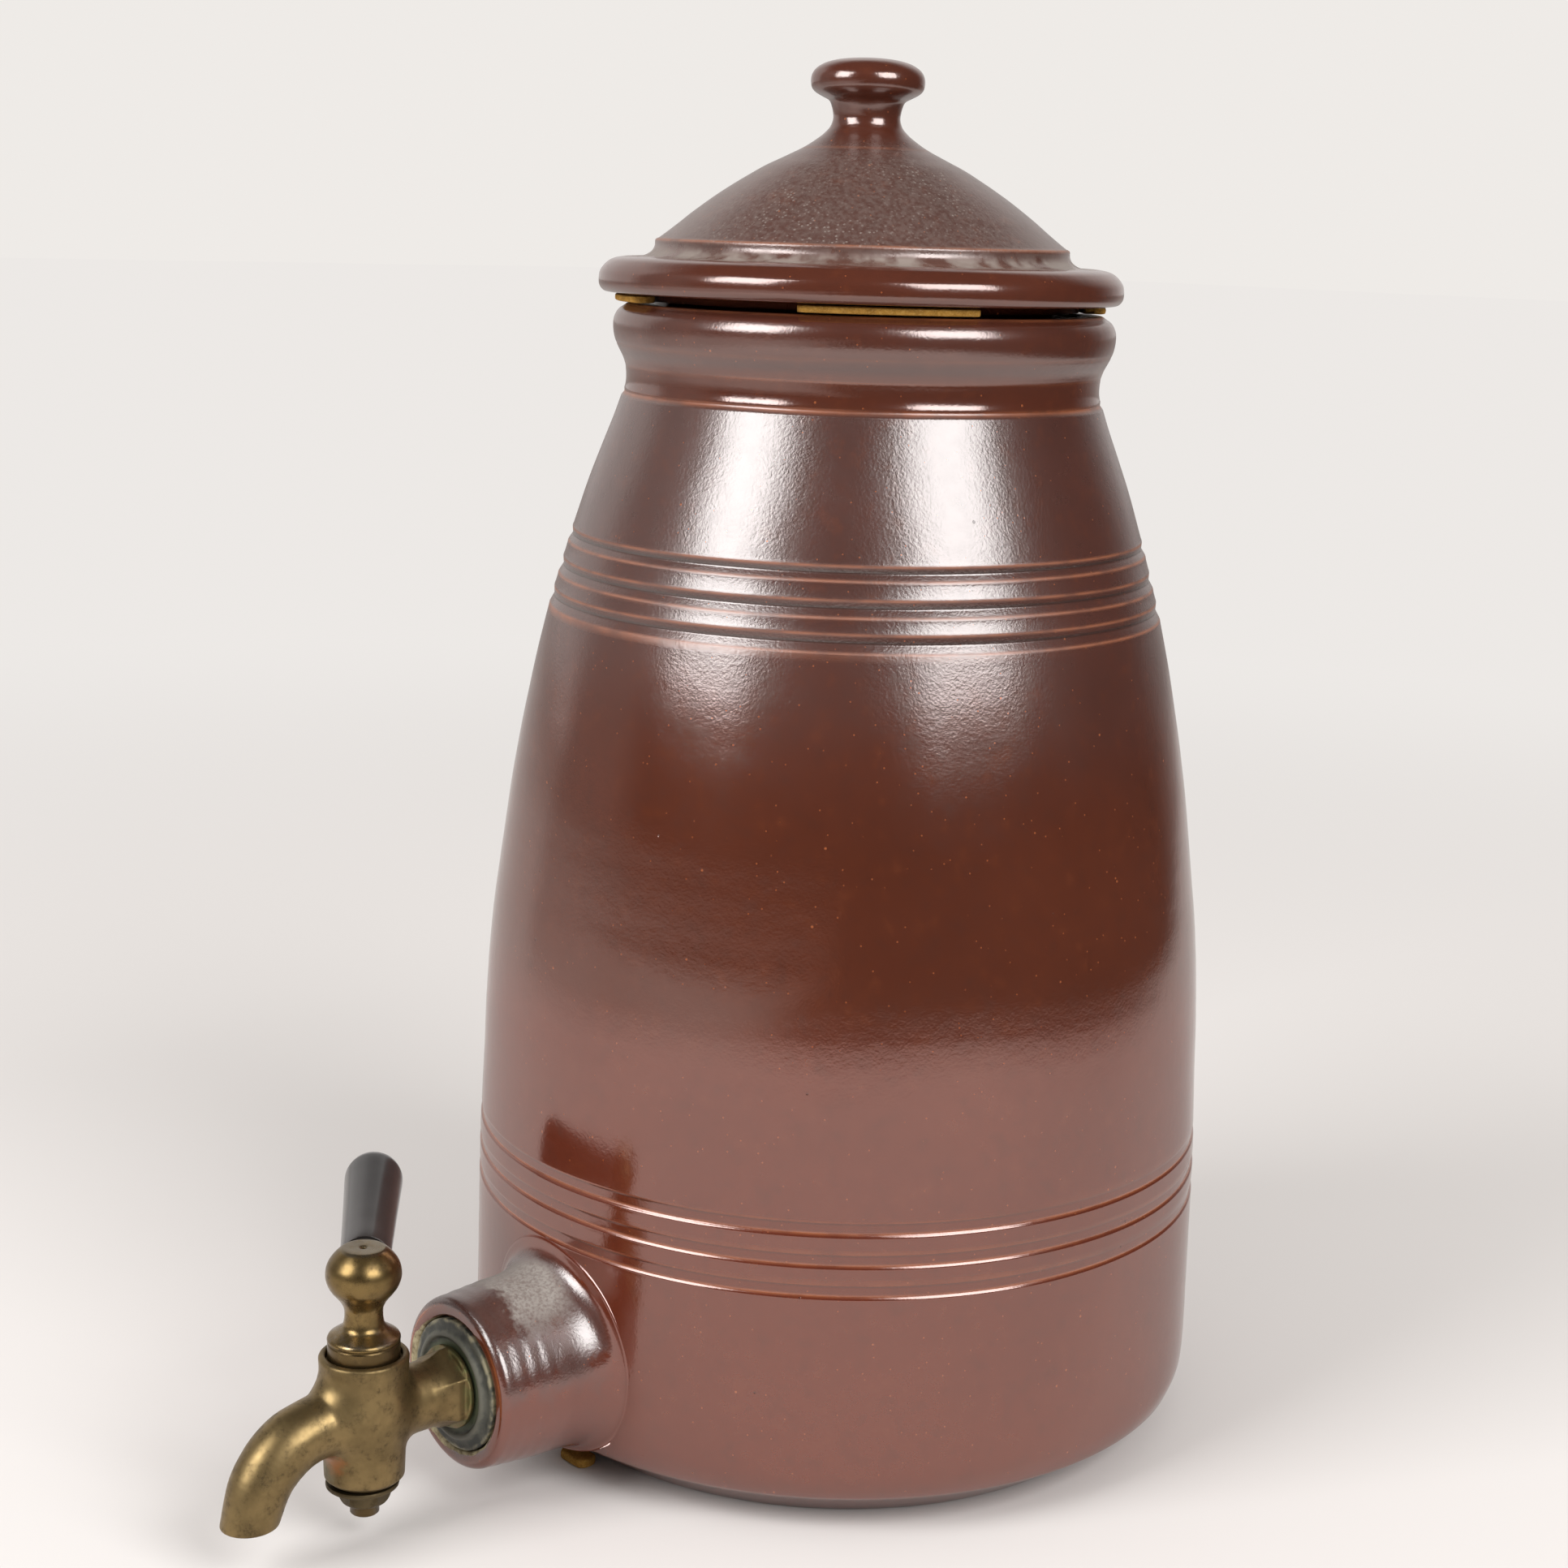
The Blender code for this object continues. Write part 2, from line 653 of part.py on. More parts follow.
def hex_radius(turn):
    """A six-sided outline's radius, with a flat facing +X."""
    step = math.pi / 3
    return HEX_FLAT / math.cos((turn + step / 2) % step - step / 2)


def shank_rings():
    """Round tail, round collar, six-sided flare and round shank, from the pot's inside to the barrel."""
    collar_front = collar_back + COLLAR_WIDTH
    hex_end = collar_front + HEX_LENGTH
    flare_end = hex_end + HEX_FLARE_LENGTH
    barrel_wall = TAP_REACH - BARREL_TOP_RADIUS
    stations = [
        (TAIL_END_REACH, TAIL_RADIUS, 0.0),
        (collar_back, TAIL_RADIUS, 0.0),
        (collar_back, COLLAR_RADIUS, 0.0),
        (collar_front, COLLAR_RADIUS, 0.0),
        (collar_front, HEX_FLAT, 1.0),
        (hex_end, HEX_FLAT, 1.0),
        (hex_end + HEX_FLARE_LENGTH / 4, SHANK_RADIUS, 0.62),
        (hex_end + HEX_FLARE_LENGTH / 2, SHANK_RADIUS, 0.28),
        (flare_end, SHANK_RADIUS, 0.0),
        (barrel_wall - SHANK_RADIUS / 4, SHANK_RADIUS, 0.0),
        (barrel_wall, SHANK_ROOT_RADIUS, 0.0),
        (TAP_REACH - BARREL_FOOT_RADIUS / 2, SHANK_ROOT_RADIUS, 0.0),
    ]
    rings = []
    for reach, radius, hexness in stations:
        ring = []
        for i in range(TAP_STEPS + 4):
            turn = 2 * math.pi * i / (TAP_STEPS + 4)
            size = radius + hexness * (hex_radius(turn) - radius)
            ring.append(Vector((size * math.cos(turn), -reach, BOSS_HEIGHT + size * math.sin(turn))))
        rings.append(ring)
    return rings


def spout_points(radius_of, overrun):
    """Points and radii along the spout's middle, run past the tip."""
    curve = smooth_between(SPOUT_shares, 2)
    points = [
        Vector((0.0, -TAP_REACH - reach * SPOUT_REACH, SPOUT_ROOT_HEIGHT - drop * SPOUT_DROP))
        for reach, drop, _ in curve
    ]
    radii = [radius_of(SPOUT_RADIUS * share) for _, _, share in curve]
    way = (points[-1] - points[-2]).normalized()
    points.append(points[-1] + way * overrun)
    radii.append(radii[-1])
    return points, radii


def key_bore_radius(height, clearance):
    """The tapered seat of the turning plug at a height."""
    part = (height - BARREL_BOTTOM_HEIGHT) / (BARREL_TOP_HEIGHT - BARREL_BOTTOM_HEIGHT)
    return PLUG_FOOT_RADIUS + part * (PLUG_TOP_RADIUS - PLUG_FOOT_RADIUS) + clearance


def on_tap(obj, height=0.0):
    """Moves a form onto the tap's upright axis."""
    obj.location = (0.0, -TAP_REACH, height)
    return obj


barrel_foot = BARREL_BOTTOM_HEIGHT + BARREL_CHAMFER
barrel_outline = [(0.0, BARREL_TOP_HEIGHT)]
barrel_outline += quarter_round(
    (BARREL_TOP_RADIUS - BARREL_ROUND_RADIUS, BARREL_TOP_HEIGHT - BARREL_ROUND_RADIUS), BARREL_ROUND_RADIUS, 90
)
barrel_outline += [
    (BARREL_FOOT_RADIUS, barrel_foot),
    (BARREL_FOOT_RADIUS - BARREL_CHAMFER, BARREL_BOTTOM_HEIGHT),
    (0.0, BARREL_BOTTOM_HEIGHT),
]
tap_body = on_tap(turned("tap_body", barrel_outline, TAP_STEPS, BRASS))
spout = swept("spout_form", *spout_points(lambda radius: radius, SPOUT_RADIUS / 2), 5)
cut(tap_body, spout, "UNION")
tip_trim = turned(
    "tip_trim",
    [
        (0.0, SPOUT_TIP_HEIGHT),
        (2 * SPOUT_RADIUS, SPOUT_TIP_HEIGHT),
        (2 * SPOUT_RADIUS, SPOUT_TIP_HEIGHT - 2 * OVERRUN),
        (0.0, SPOUT_TIP_HEIGHT - 2 * OVERRUN),
    ],
    SMALL_STEPS,
)
tip_trim.location = (0.0, -TAP_REACH - SPOUT_REACH, 0.0)
cut(tap_body, tip_trim)
cut(tap_body, loft("shank_form", shank_rings()), "UNION")
key_seat = turned(
    "key_seat",
    [
        (0.0, BARREL_TOP_HEIGHT + OVERRUN),
        (BARREL_MOUTH_RADIUS, BARREL_TOP_HEIGHT + OVERRUN),
        (BARREL_MOUTH_RADIUS, BARREL_TOP_HEIGHT - BARREL_MOUTH_DEPTH),
        (
            key_bore_radius(BARREL_TOP_HEIGHT - BARREL_MOUTH_DEPTH, TURNING_FIT),
            BARREL_TOP_HEIGHT - BARREL_MOUTH_DEPTH,
        ),
        (key_bore_radius(BARREL_BOTTOM_HEIGHT - OVERRUN, TURNING_FIT), BARREL_BOTTOM_HEIGHT - OVERRUN),
        (0.0, BARREL_BOTTOM_HEIGHT - OVERRUN),
    ],
    TAP_STEPS,
)
key_seat.rotation_euler = (0.0, 0.0, math.pi / TAP_STEPS)
cut(tap_body, on_tap(key_seat))
spout_bore = swept("spout_bore", *spout_points(lambda radius: min(radius, SPOUT_RADIUS) - SPOUT_WALL, OVERRUN), 4)
cut(tap_body, spout_bore)
inlet = turned(
    "inlet_bore",
    [
        (0.0, TAP_REACH + WATERWAY_RADIUS / 2),
        (WATERWAY_RADIUS, TAP_REACH + WATERWAY_RADIUS / 2),
        (WATERWAY_RADIUS, TAIL_END_REACH - OVERRUN),
        (0.0, TAIL_END_REACH - OVERRUN),
    ],
    SMALL_STEPS,
)
cut(tap_body, towards_tap(inlet, BOSS_HEIGHT))

tap_axis = bpy.data.objects.new("tap_turn_axis", None)
tap_axis.location = (0.0, -TAP_REACH, 0.0)
PARTS.objects.link(tap_axis)
plug_foot = BARREL_BOTTOM_HEIGHT + GAP
collar_foot = BARREL_TOP_HEIGHT - BARREL_MOUTH_DEPTH + GAP
collar_rise = PLUG_NECK_HEIGHT - PLUG_COLLAR_HEIGHT
top_rise = BALL_TOP_HEIGHT - BALL_HEIGHT
low_rise = BALL_HEIGHT - PLUG_NECK_HEIGHT
plug_outline = [(0.0, BALL_TOP_HEIGHT - DIMPLE_RADIUS), (DIMPLE_RADIUS, BALL_TOP_HEIGHT)]
plug_outline += [
    (BALL_TOP_RADIUS + (BALL_RADIUS - BALL_TOP_RADIUS) * out, BALL_HEIGHT + top_rise * up)
    for up, out in BALL_UPPER_shares
]
plug_outline += [
    (PLUG_NECK_RADIUS + (BALL_RADIUS - PLUG_NECK_RADIUS) * out, BALL_HEIGHT - low_rise * down)
    for down, out in BALL_LOWER_shares
]
plug_outline.append((PLUG_NECK_RADIUS, PLUG_NECK_HEIGHT))
plug_outline += [
    (PLUG_NECK_RADIUS + (PLUG_COLLAR_RADIUS - PLUG_NECK_RADIUS) * out, PLUG_COLLAR_HEIGHT + collar_rise * up)
    for up, out in COLLAR_shares
]
plug_outline += [
    (PLUG_COLLAR_RADIUS, collar_foot),
    (key_bore_radius(collar_foot, 0.0), collar_foot),
    (key_bore_radius(plug_foot, 0.0), plug_foot),
    (STUD_RADIUS, plug_foot),
    (STUD_RADIUS, STUD_END_HEIGHT + GAP),
    (STUD_RADIUS - GAP, STUD_END_HEIGHT),
    (0.0, STUD_END_HEIGHT),
]
tap_plug = turned("tap_plug", plug_outline, TAP_STEPS, PLUG_BRASS)
tap_plug.parent = tap_axis


def along_handle(obj, height=0.0):
    """Turns a form's +Z to the lever's own direction, from the middle of the ball head."""
    level = Matrix.Rotation(math.pi / 2 + HANDLE_TURN, 4, "Z")
    lean = Matrix.Rotation(math.pi / 2 - HANDLE_RISE, 4, "Y")
    obj.matrix_basis = Matrix.Translation((0.0, 0.0, height)) @ level @ lean
    return obj


port = turned(
    "port",
    [
        (0.0, PLUG_TOP_RADIUS + OVERRUN),
        (WATERWAY_RADIUS, PLUG_TOP_RADIUS + OVERRUN),
        (WATERWAY_RADIUS, -PLUG_TOP_RADIUS - OVERRUN),
        (0.0, -PLUG_TOP_RADIUS - OVERRUN),
    ],
    SMALL_STEPS,
)
port.parent = tap_axis
port.matrix_basis = (
    Matrix.Translation((0.0, 0.0, BOSS_HEIGHT))
    @ Matrix.Rotation(math.pi / 2 + HANDLE_TURN, 4, "Z")
    @ Matrix.Rotation(math.pi / 2, 4, "Y")
)
cut(tap_plug, port)
ball_flat = turned(
    "ball_flat",
    [
        (0.0, BALL_RADIUS + OVERRUN),
        (BALL_RADIUS, BALL_RADIUS + OVERRUN),
        (BALL_RADIUS, BALL_FLAT_REACH),
        (STEM_RADIUS + GAP, BALL_FLAT_REACH),
        (STEM_RADIUS + GAP, BALL_FLAT_REACH - STEM_SOCKET_DEPTH - GAP),
        (0.0, BALL_FLAT_REACH - STEM_SOCKET_DEPTH - GAP),
    ],
    SMALL_STEPS,
)
ball_flat.parent = tap_axis
along_handle(ball_flat, BALL_HEIGHT)
cut(tap_plug, ball_flat)

washer_top = BARREL_BOTTOM_HEIGHT - GAP
washer_bottom = washer_top - WASHER_THICKNESS
plug_washer = turned(
    "plug_washer",
    [
        (STUD_RADIUS + GAP, washer_top),
        (WASHER_RADIUS - GAP, washer_top),
        (WASHER_RADIUS, washer_top - WASHER_THICKNESS / 2),
        (WASHER_RADIUS - GAP, washer_bottom),
        (STUD_RADIUS + GAP, washer_bottom),
    ],
    SMALL_STEPS,
    NUT_BRASS,
    closed=True,
)
plug_washer.parent = tap_axis
nut_top = washer_bottom - GAP
nut_bottom = nut_top - NUT_HEIGHT
nut_corner = NUT_FLAT / math.cos(math.pi / 6)
plug_nut = turned(
    "plug_nut",
    [
        (STUD_RADIUS + GAP, nut_top),
        (nut_corner, nut_top),
        (nut_corner, nut_bottom + NUT_HEIGHT / 3),
        (NUT_END_RADIUS, nut_bottom),
        (STUD_RADIUS + GAP, nut_bottom),
    ],
    SMALL_STEPS,
    NUT_BRASS,
    closed=True,
)
plug_nut.parent = tap_axis
nut_shape = bmesh.new()
bmesh.ops.create_cone(
    nut_shape,
    cap_ends=True,
    segments=6,
    radius1=nut_corner,
    radius2=nut_corner,
    depth=NUT_HEIGHT + OVERRUN,
)
nut_mesh = bpy.data.meshes.new("nut_form")
nut_shape.to_mesh(nut_mesh)
nut_shape.free()
nut_form = place("nut_form", nut_mesh)
nut_form.parent = tap_axis
nut_form.location = (0.0, 0.0, (nut_top + nut_bottom) / 2)
nut_form.rotation_euler = (0.0, 0.0, NUT_TURN)
cut(plug_nut, nut_form, "INTERSECT")

grip_start = BALL_FLAT_REACH + GAP
round_middle = (HANDLE_END_RADIUS - HANDLE_END_ROUND_RADIUS, HANDLE_REACH - HANDLE_END_ROUND_RADIUS)
grip_outline = [(0.0, HANDLE_REACH)]
grip_outline += quarter_round(round_middle, HANDLE_END_ROUND_RADIUS, 90)
grip_outline += [
    (HANDLE_START_RADIUS, grip_start),
    (STEM_RADIUS + GAP, grip_start),
    (STEM_RADIUS + GAP, grip_start + STEM_GRIP_DEPTH + GAP),
    (0.0, grip_start + STEM_GRIP_DEPTH + GAP),
]
handle_grip = turned("handle_grip", grip_outline, SMALL_STEPS, GRIP_BLACK)
handle_grip.parent = tap_axis
along_handle(handle_grip, BALL_HEIGHT)
stem_outline = [
    (0.0, grip_start + STEM_GRIP_DEPTH),
    (STEM_RADIUS, grip_start + STEM_GRIP_DEPTH),
    (STEM_RADIUS, BALL_FLAT_REACH - STEM_SOCKET_DEPTH),
    (0.0, BALL_FLAT_REACH - STEM_SOCKET_DEPTH),
]
handle_stem = turned("handle_stem", stem_outline, SMALL_STEPS, PLUG_BRASS)
handle_stem.parent = tap_axis
along_handle(handle_stem, BALL_HEIGHT)
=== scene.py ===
"""Looks of the stoneware water jar: fine surfaces, glazes, aged brass, felt, floor, light and camera.

All lengths below are in millimetres and turn into metres through MM. The jar stands on z = 0, its
axis is Z and the tap points along -Y. Surfaces are grids of points worked out from their outlines.
"""

import math

import bpy
import numpy as np
from mathutils import Matrix, Vector


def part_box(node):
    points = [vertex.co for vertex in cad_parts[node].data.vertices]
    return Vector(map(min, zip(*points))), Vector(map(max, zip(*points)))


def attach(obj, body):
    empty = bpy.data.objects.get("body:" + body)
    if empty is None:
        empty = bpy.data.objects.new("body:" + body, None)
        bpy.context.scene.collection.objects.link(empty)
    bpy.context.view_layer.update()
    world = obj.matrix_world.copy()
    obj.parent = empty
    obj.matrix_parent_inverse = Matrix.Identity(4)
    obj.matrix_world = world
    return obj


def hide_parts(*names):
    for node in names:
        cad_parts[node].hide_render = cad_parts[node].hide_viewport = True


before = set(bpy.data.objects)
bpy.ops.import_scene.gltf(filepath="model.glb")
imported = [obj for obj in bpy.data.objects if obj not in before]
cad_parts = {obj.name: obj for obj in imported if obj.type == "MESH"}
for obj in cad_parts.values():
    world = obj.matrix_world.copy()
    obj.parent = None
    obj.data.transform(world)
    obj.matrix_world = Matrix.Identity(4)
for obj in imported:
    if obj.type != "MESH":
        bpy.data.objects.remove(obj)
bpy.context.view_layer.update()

MM = 0.001

# Jar: outer outline as (radius, height), from the rim's crest down to the foot
RIM_OUTLINE = (
    (45.2, 244.30), (46.4, 244.65), (48.5, 244.70), (50.6, 244.66), (50.95, 244.45), (51.3, 244.20),
    (52.6, 243.30), (53.4, 242.00), (53.7, 240.60), (53.6, 238.60), (53.1, 236.60), (52.3, 234.90),
    (51.4, 233.10), (50.9, 231.20), (50.75, 229.00), (50.95, 227.30), (51.4, 226.00),
)
SIDE_OUTLINE = (
    (51.4, 226.0), (52.0, 224.4), (53.4, 220.4), (55.8, 214.2), (58.8, 206.0), (62.7, 193.6),
    (67.3, 177.2), (70.9, 160.7), (73.9, 144.2), (76.2, 127.7), (78.3, 111.2), (79.5, 94.8),
    (80.1, 78.3), (80.8, 61.8), (81.0, 47.4), (81.1, 35.0), (81.2, 24.0), (81.15, 16.5), (80.7, 12.6),
    (79.4, 9.2),
)
FOOT_OUTLINE = ((79.4, 9.2), (78.6, 8.4), (75.5, 6.3), (71.0, 3.2), (67.2, 0.4), (66.3, 0.05))
FOOT_BASE = ((60.0, 0.0), (30.0, 0.0), (0.0, 0.0))
BODY_RADIUS = 81.2
WALL = 7.2
FLOOR_TOP = 12.4
INNER_CORNER = 9.0
FOOT_TOP = 9.2
MOUTH_RADIUS = 43.7
UPPER_GROOVES = (195.6, 188.9, 182.4)
LOWER_GROOVES = (66.2, 59.7, 53.3)
GROOVE_HALF = 1.75
UPPER_GROOVE_DEPTH = 0.54
LOWER_GROOVE_DEPTH = 0.36
NECK_LINE = 226.0
NECK_LINE_HALF = 0.85
NECK_LINE_DEPTH = 0.35
RIM_LINES = (236.2, 231.6)

# Boss
BOSS_HEIGHT = 26.9
BOSS_REACH = 104.7
BOSS_RADIUS = 18.9
BOSS_MOUTH_RADIUS = 18.0
BOSS_MOUTH_ROUND = 1.9
BOSS_MOUTH = (
    (15.9, 104.64), (15.4, 104.62), (14.9, 104.58), (14.5, 104.45), (14.2, 104.2), (14.05, 103.8),
    (14.0, 103.0), (13.9, 100.0), (13.4, 85.0), (13.0, 72.0),
)
SPREAD_SIDE = 4.2
SPREAD_TOP = 2.1
SPREAD_BOTTOM = 4.2
FILLET_LENGTH = 10.5
FILLET_POWER = 2.7

# Lid, as (radius, height above its seat), from the crest of the knob down and under. It rests a
# millimetre off the jar's axis.
LID_SEAT = 246.9
LID_MIDDLE = (-0.665, -0.747)
LID_OUTLINE = (
    (0.0, 49.50), (1.8, 49.50), (3.5, 49.46), (6.5, 49.10), (9.05, 48.40), (10.9, 47.30), (11.8, 46.05),
    (12.04, 44.70), (11.8, 43.30), (10.95, 42.34), (9.45, 41.50), (8.05, 40.75), (7.5, 39.60),
    (7.2, 38.30), (7.12, 37.00), (7.6, 35.50), (8.5, 34.40), (9.8, 33.25), (12.8, 31.20), (16.9, 29.10),
    (21.0, 27.10), (24.6, 25.00), (27.9, 22.95), (31.0, 20.90), (33.9, 18.80), (36.6, 16.75),
    (39.1, 14.70), (41.7, 12.65), (43.3, 11.45),
)
LID_STEP = (
    (43.3, 11.45), (43.8, 11.25), (44.1, 10.90), (44.12, 10.20), (44.3, 9.40), (45.0, 8.45),
    (46.6, 7.65), (49.2, 7.48), (50.4, 7.42), (51.9, 7.20), (53.3, 6.75), (54.3, 6.05), (55.1, 5.20),
    (55.7, 4.20), (55.9, 3.10), (55.9, 1.90), (55.6, 1.00), (54.9, 0.25), (54.0, 0.03), (53.0, 0.0),
)
LID_UNDER = (
    (53.0, 0.0), (46.9, 0.0), (46.6, -1.5), (46.3, -1.6), (41.5, -1.6), (41.5, -7.6), (40.6, -8.5),
    (38.7, -8.5), (37.8, -7.6), (37.8, 6.1),
)
LID_HOLLOW = (
    (37.8, 6.1), (34.2, 13.4), (24.3, 19.3), (12.9, 22.3), (0.0, 23.4),
)

# Tap
TAP_REACH = 126.3
BARREL_TOP = 39.9
BARREL_BOTTOM = 12.9
SPOUT_TIP = 11.1
SPOUT_LINE = (
    (0.0, 27.9, 8.4), (3.7, 27.9, 8.2), (8.4, 27.4, 6.7), (12.7, 26.85, 6.3), (16.6, 25.7, 6.36),
    (19.9, 23.5, 6.32), (22.3, 20.95, 6.17), (23.85, 18.5, 6.1), (25.0, 15.5, 5.92), (26.3, 11.1, 5.60),
    (27.1, 8.2, 5.55),
)
SPOUT_WALL = 1.6
PLUG_OUTLINE = (
    (0.0, 61.7), (0.5, 61.8), (0.9, 62.15), (2.6, 62.22), (3.9, 62.20), (4.4, 62.05), (5.05, 61.55),
    (6.1, 60.45), (7.0, 59.10), (7.45, 57.60), (7.48, 56.00), (6.95, 54.35), (6.1, 53.05), (5.1, 51.85),
    (4.4, 50.80), (3.92, 49.65), (3.82, 48.50), (3.87, 47.40), (4.1, 46.25), (4.6, 45.45), (5.5, 44.80),
    (6.3, 44.28), (6.95, 43.85), (7.25, 43.40), (7.28, 43.00), (7.05, 42.75), (7.02, 42.60),
    (7.2, 42.40), (7.24, 42.00), (7.22, 40.50), (7.2, 38.9),
)
WASHER_OUTLINE = (
    (3.55, 12.6), (7.0, 12.6), (7.3, 12.45), (7.4, 12.15), (7.3, 11.85), (7.0, 11.7), (3.55, 11.7),
    (3.55, 12.6),
)
NUT_OUTLINE = (
    (3.25, 11.4), (4.8, 11.4), (5.36, 11.25), (5.36, 10.3), (5.3, 9.7), (5.05, 9.0), (4.6, 8.4),
    (4.0, 8.1), (3.25, 8.1), (3.25, 11.4),
)
GRIP_OUTLINE = (
    (0.0, 6.2), (4.3, 6.2), (5.0, 6.5), (5.25, 14.0), (5.55, 24.0), (5.9, 34.0), (6.08, 39.4),
    (5.95, 40.9), (5.4, 42.4), (4.4, 43.4), (3.1, 43.9), (1.6, 44.0), (0.0, 44.0),
)
BUNG_OUTLINE = (
    (5.6, 105.0), (8.2, 105.1), (9.6, 105.2), (10.1, 105.5), (10.4, 105.85), (10.8, 105.95),
    (11.3, 105.7), (11.7, 105.2), (12.3, 104.95), (13.2, 104.9), (13.7, 104.6), (13.7, 103.0),
    (13.2, 88.0), (12.5, 68.0), (11.0, 67.0), (5.6, 67.0),
)
BALL_HEIGHT = 56.8
HANDLE_TURN = math.radians(54.6)
HANDLE_RISE = math.radians(6.2)

# Camera, fitted to the photograph
CAMERA_PLACE = (413.1, -386.7, 261.2)
CAMERA_HEADING = math.radians(48.33)
CAMERA_PITCH = math.radians(12.08)
CAMERA_ROLL = math.radians(1.731)
CAMERA_LENS = 59.69


# Mesh building
def smooth_line(points, spacing):
    """Even points, about `spacing` apart, on the Catmull-Rom curve through `points`.

    p(t) = sum of w_i(t) p_i with the usual four weights, so the curve passes through each point.
    """
    p = np.asarray(points, float)
    q = np.vstack([2 * p[0] - p[1], p, 2 * p[-1] - p[-2]])
    t = np.linspace(0, 1, 24, endpoint=False)[:, None]
    parts = []
    for a, b, c, d in zip(q, q[1:], q[2:], q[3:]):
        parts.append(
            0.5 * (2 * b + (c - a) * t + (2 * a - 5 * b + 4 * c - d) * t**2 + (3 * b - a - 3 * c + d) * t**3)
        )
    line = np.vstack([*parts, p[-1:]])
    run = np.concatenate([[0], np.cumsum(np.linalg.norm(np.diff(line, axis=0), axis=1))])
    count = max(2, int(round(run[-1] / spacing)) + 1)
    even = np.linspace(0, run[-1], count)
    return np.stack([np.interp(even, run, line[:, i]) for i in range(line.shape[1])], 1)


def grid_mesh(name, points, masks=None):
    """A mesh from points[row, column], with the columns closed into rings."""
    rows, columns = points.shape[:2]
    index = np.arange(rows * columns).reshape(rows, columns)
    right = np.roll(index, -1, 1)
    quads = np.stack([index[:-1], index[1:], right[1:], right[:-1]], -1).reshape(-1, 4)
    return mesh_object(name, points.reshape(-1, 3), quads, masks)


def mesh_object(name, points, faces, masks=None):
    """An object from arrays of points in millimetres and four-sided faces, with smooth shading."""
    mesh = bpy.data.meshes.new(name)
    mesh.vertices.add(len(points))
    mesh.vertices.foreach_set("co", (np.asarray(points) * MM).astype(np.float32).ravel())
    mesh.loops.add(faces.size)
    mesh.loops.foreach_set("vertex_index", faces.astype(np.int32).ravel())
    mesh.polygons.add(len(faces))
    mesh.polygons.foreach_set("loop_start", np.arange(0, faces.size, 4, dtype=np.int32))
    mesh.polygons.foreach_set("use_smooth", np.ones(len(faces), bool))
    mesh.update(calc_edges=True)
    mesh.validate()
    for key, values in (masks or {}).items():
        layer = mesh.attributes.new(key, "FLOAT", "POINT")
        layer.data.foreach_set("value", np.asarray(values, np.float32).ravel())
    obj = bpy.data.objects.new(name, mesh)
    bpy.context.scene.collection.objects.link(obj)
    return obj


def revolve(outline, columns, middle=(0.0, 0.0)):
    """Points (r cos a, r sin a, z) for each outline point (r, z) and each angle a."""
    turn = np.linspace(0, 2 * math.pi, columns, endpoint=False)
    r, z = outline[:, :1], outline[:, 1:2]
    r = np.maximum(r, 0.01)
    return np.stack([middle[0] + r * np.cos(turn), middle[1] + r * np.sin(turn), z + 0 * turn], -1)


def waves(angle, seed):
    """A gentle wandering value between about -1 and 1 round a circle: a sum of sines."""
    rng = np.random.default_rng(seed)
    total = np.zeros_like(angle)
    for order in (1, 2, 3, 5, 8):
        total = total + rng.normal() / order**0.7 * np.sin(order * angle + rng.uniform(0, 2 * math.pi))
    return total / 1.6


def hill(distance, width):
    """A smooth bump exp(-(d / w)^2)."""
    return np.exp(-((distance / width) ** 2))


# Jar, boss and lid
def jar_heights():
    """Heights down the jar's side, close together at each groove."""
    z = list(np.arange(FOOT_TOP, NECK_LINE, 1.5))
    for groove in (*UPPER_GROOVES, *LOWER_GROOVES):
        z += list(np.arange(groove - 2.2, groove + 2.8, 0.2))
    z += list(np.arange(NECK_LINE - 2.4, NECK_LINE, 0.2))
    z = np.unique(np.round(z, 2))
    keep = [z[0]]
    for value in z[1:]:
        if value - keep[-1] > 0.12:
            keep.append(value)
    return np.array(keep)[::-1]


def groove_depth(offset, half, depth):
    """A rounded V: depth (1 - |u|)^1.15 inside, with a slight raised lip just outside."""
    u = np.abs(offset) / half
    cut = depth * np.clip(1 - u, 0, 1) ** 1.15
    return cut - 0.10 * depth * hill(u - 1.12, 0.22)


def ledge_depth(level, depth):
    """A groove cut with a slanting tool: a small step in at the top, a long slope, a steep ledge out."""
    slope = np.interp(level, (-0.50, 0.0, 2.15, 2.45), (0.0, 1.0, 0.40, 0.0))
    return depth * slope - 0.08 * depth * hill(level + 0.75, 0.3)


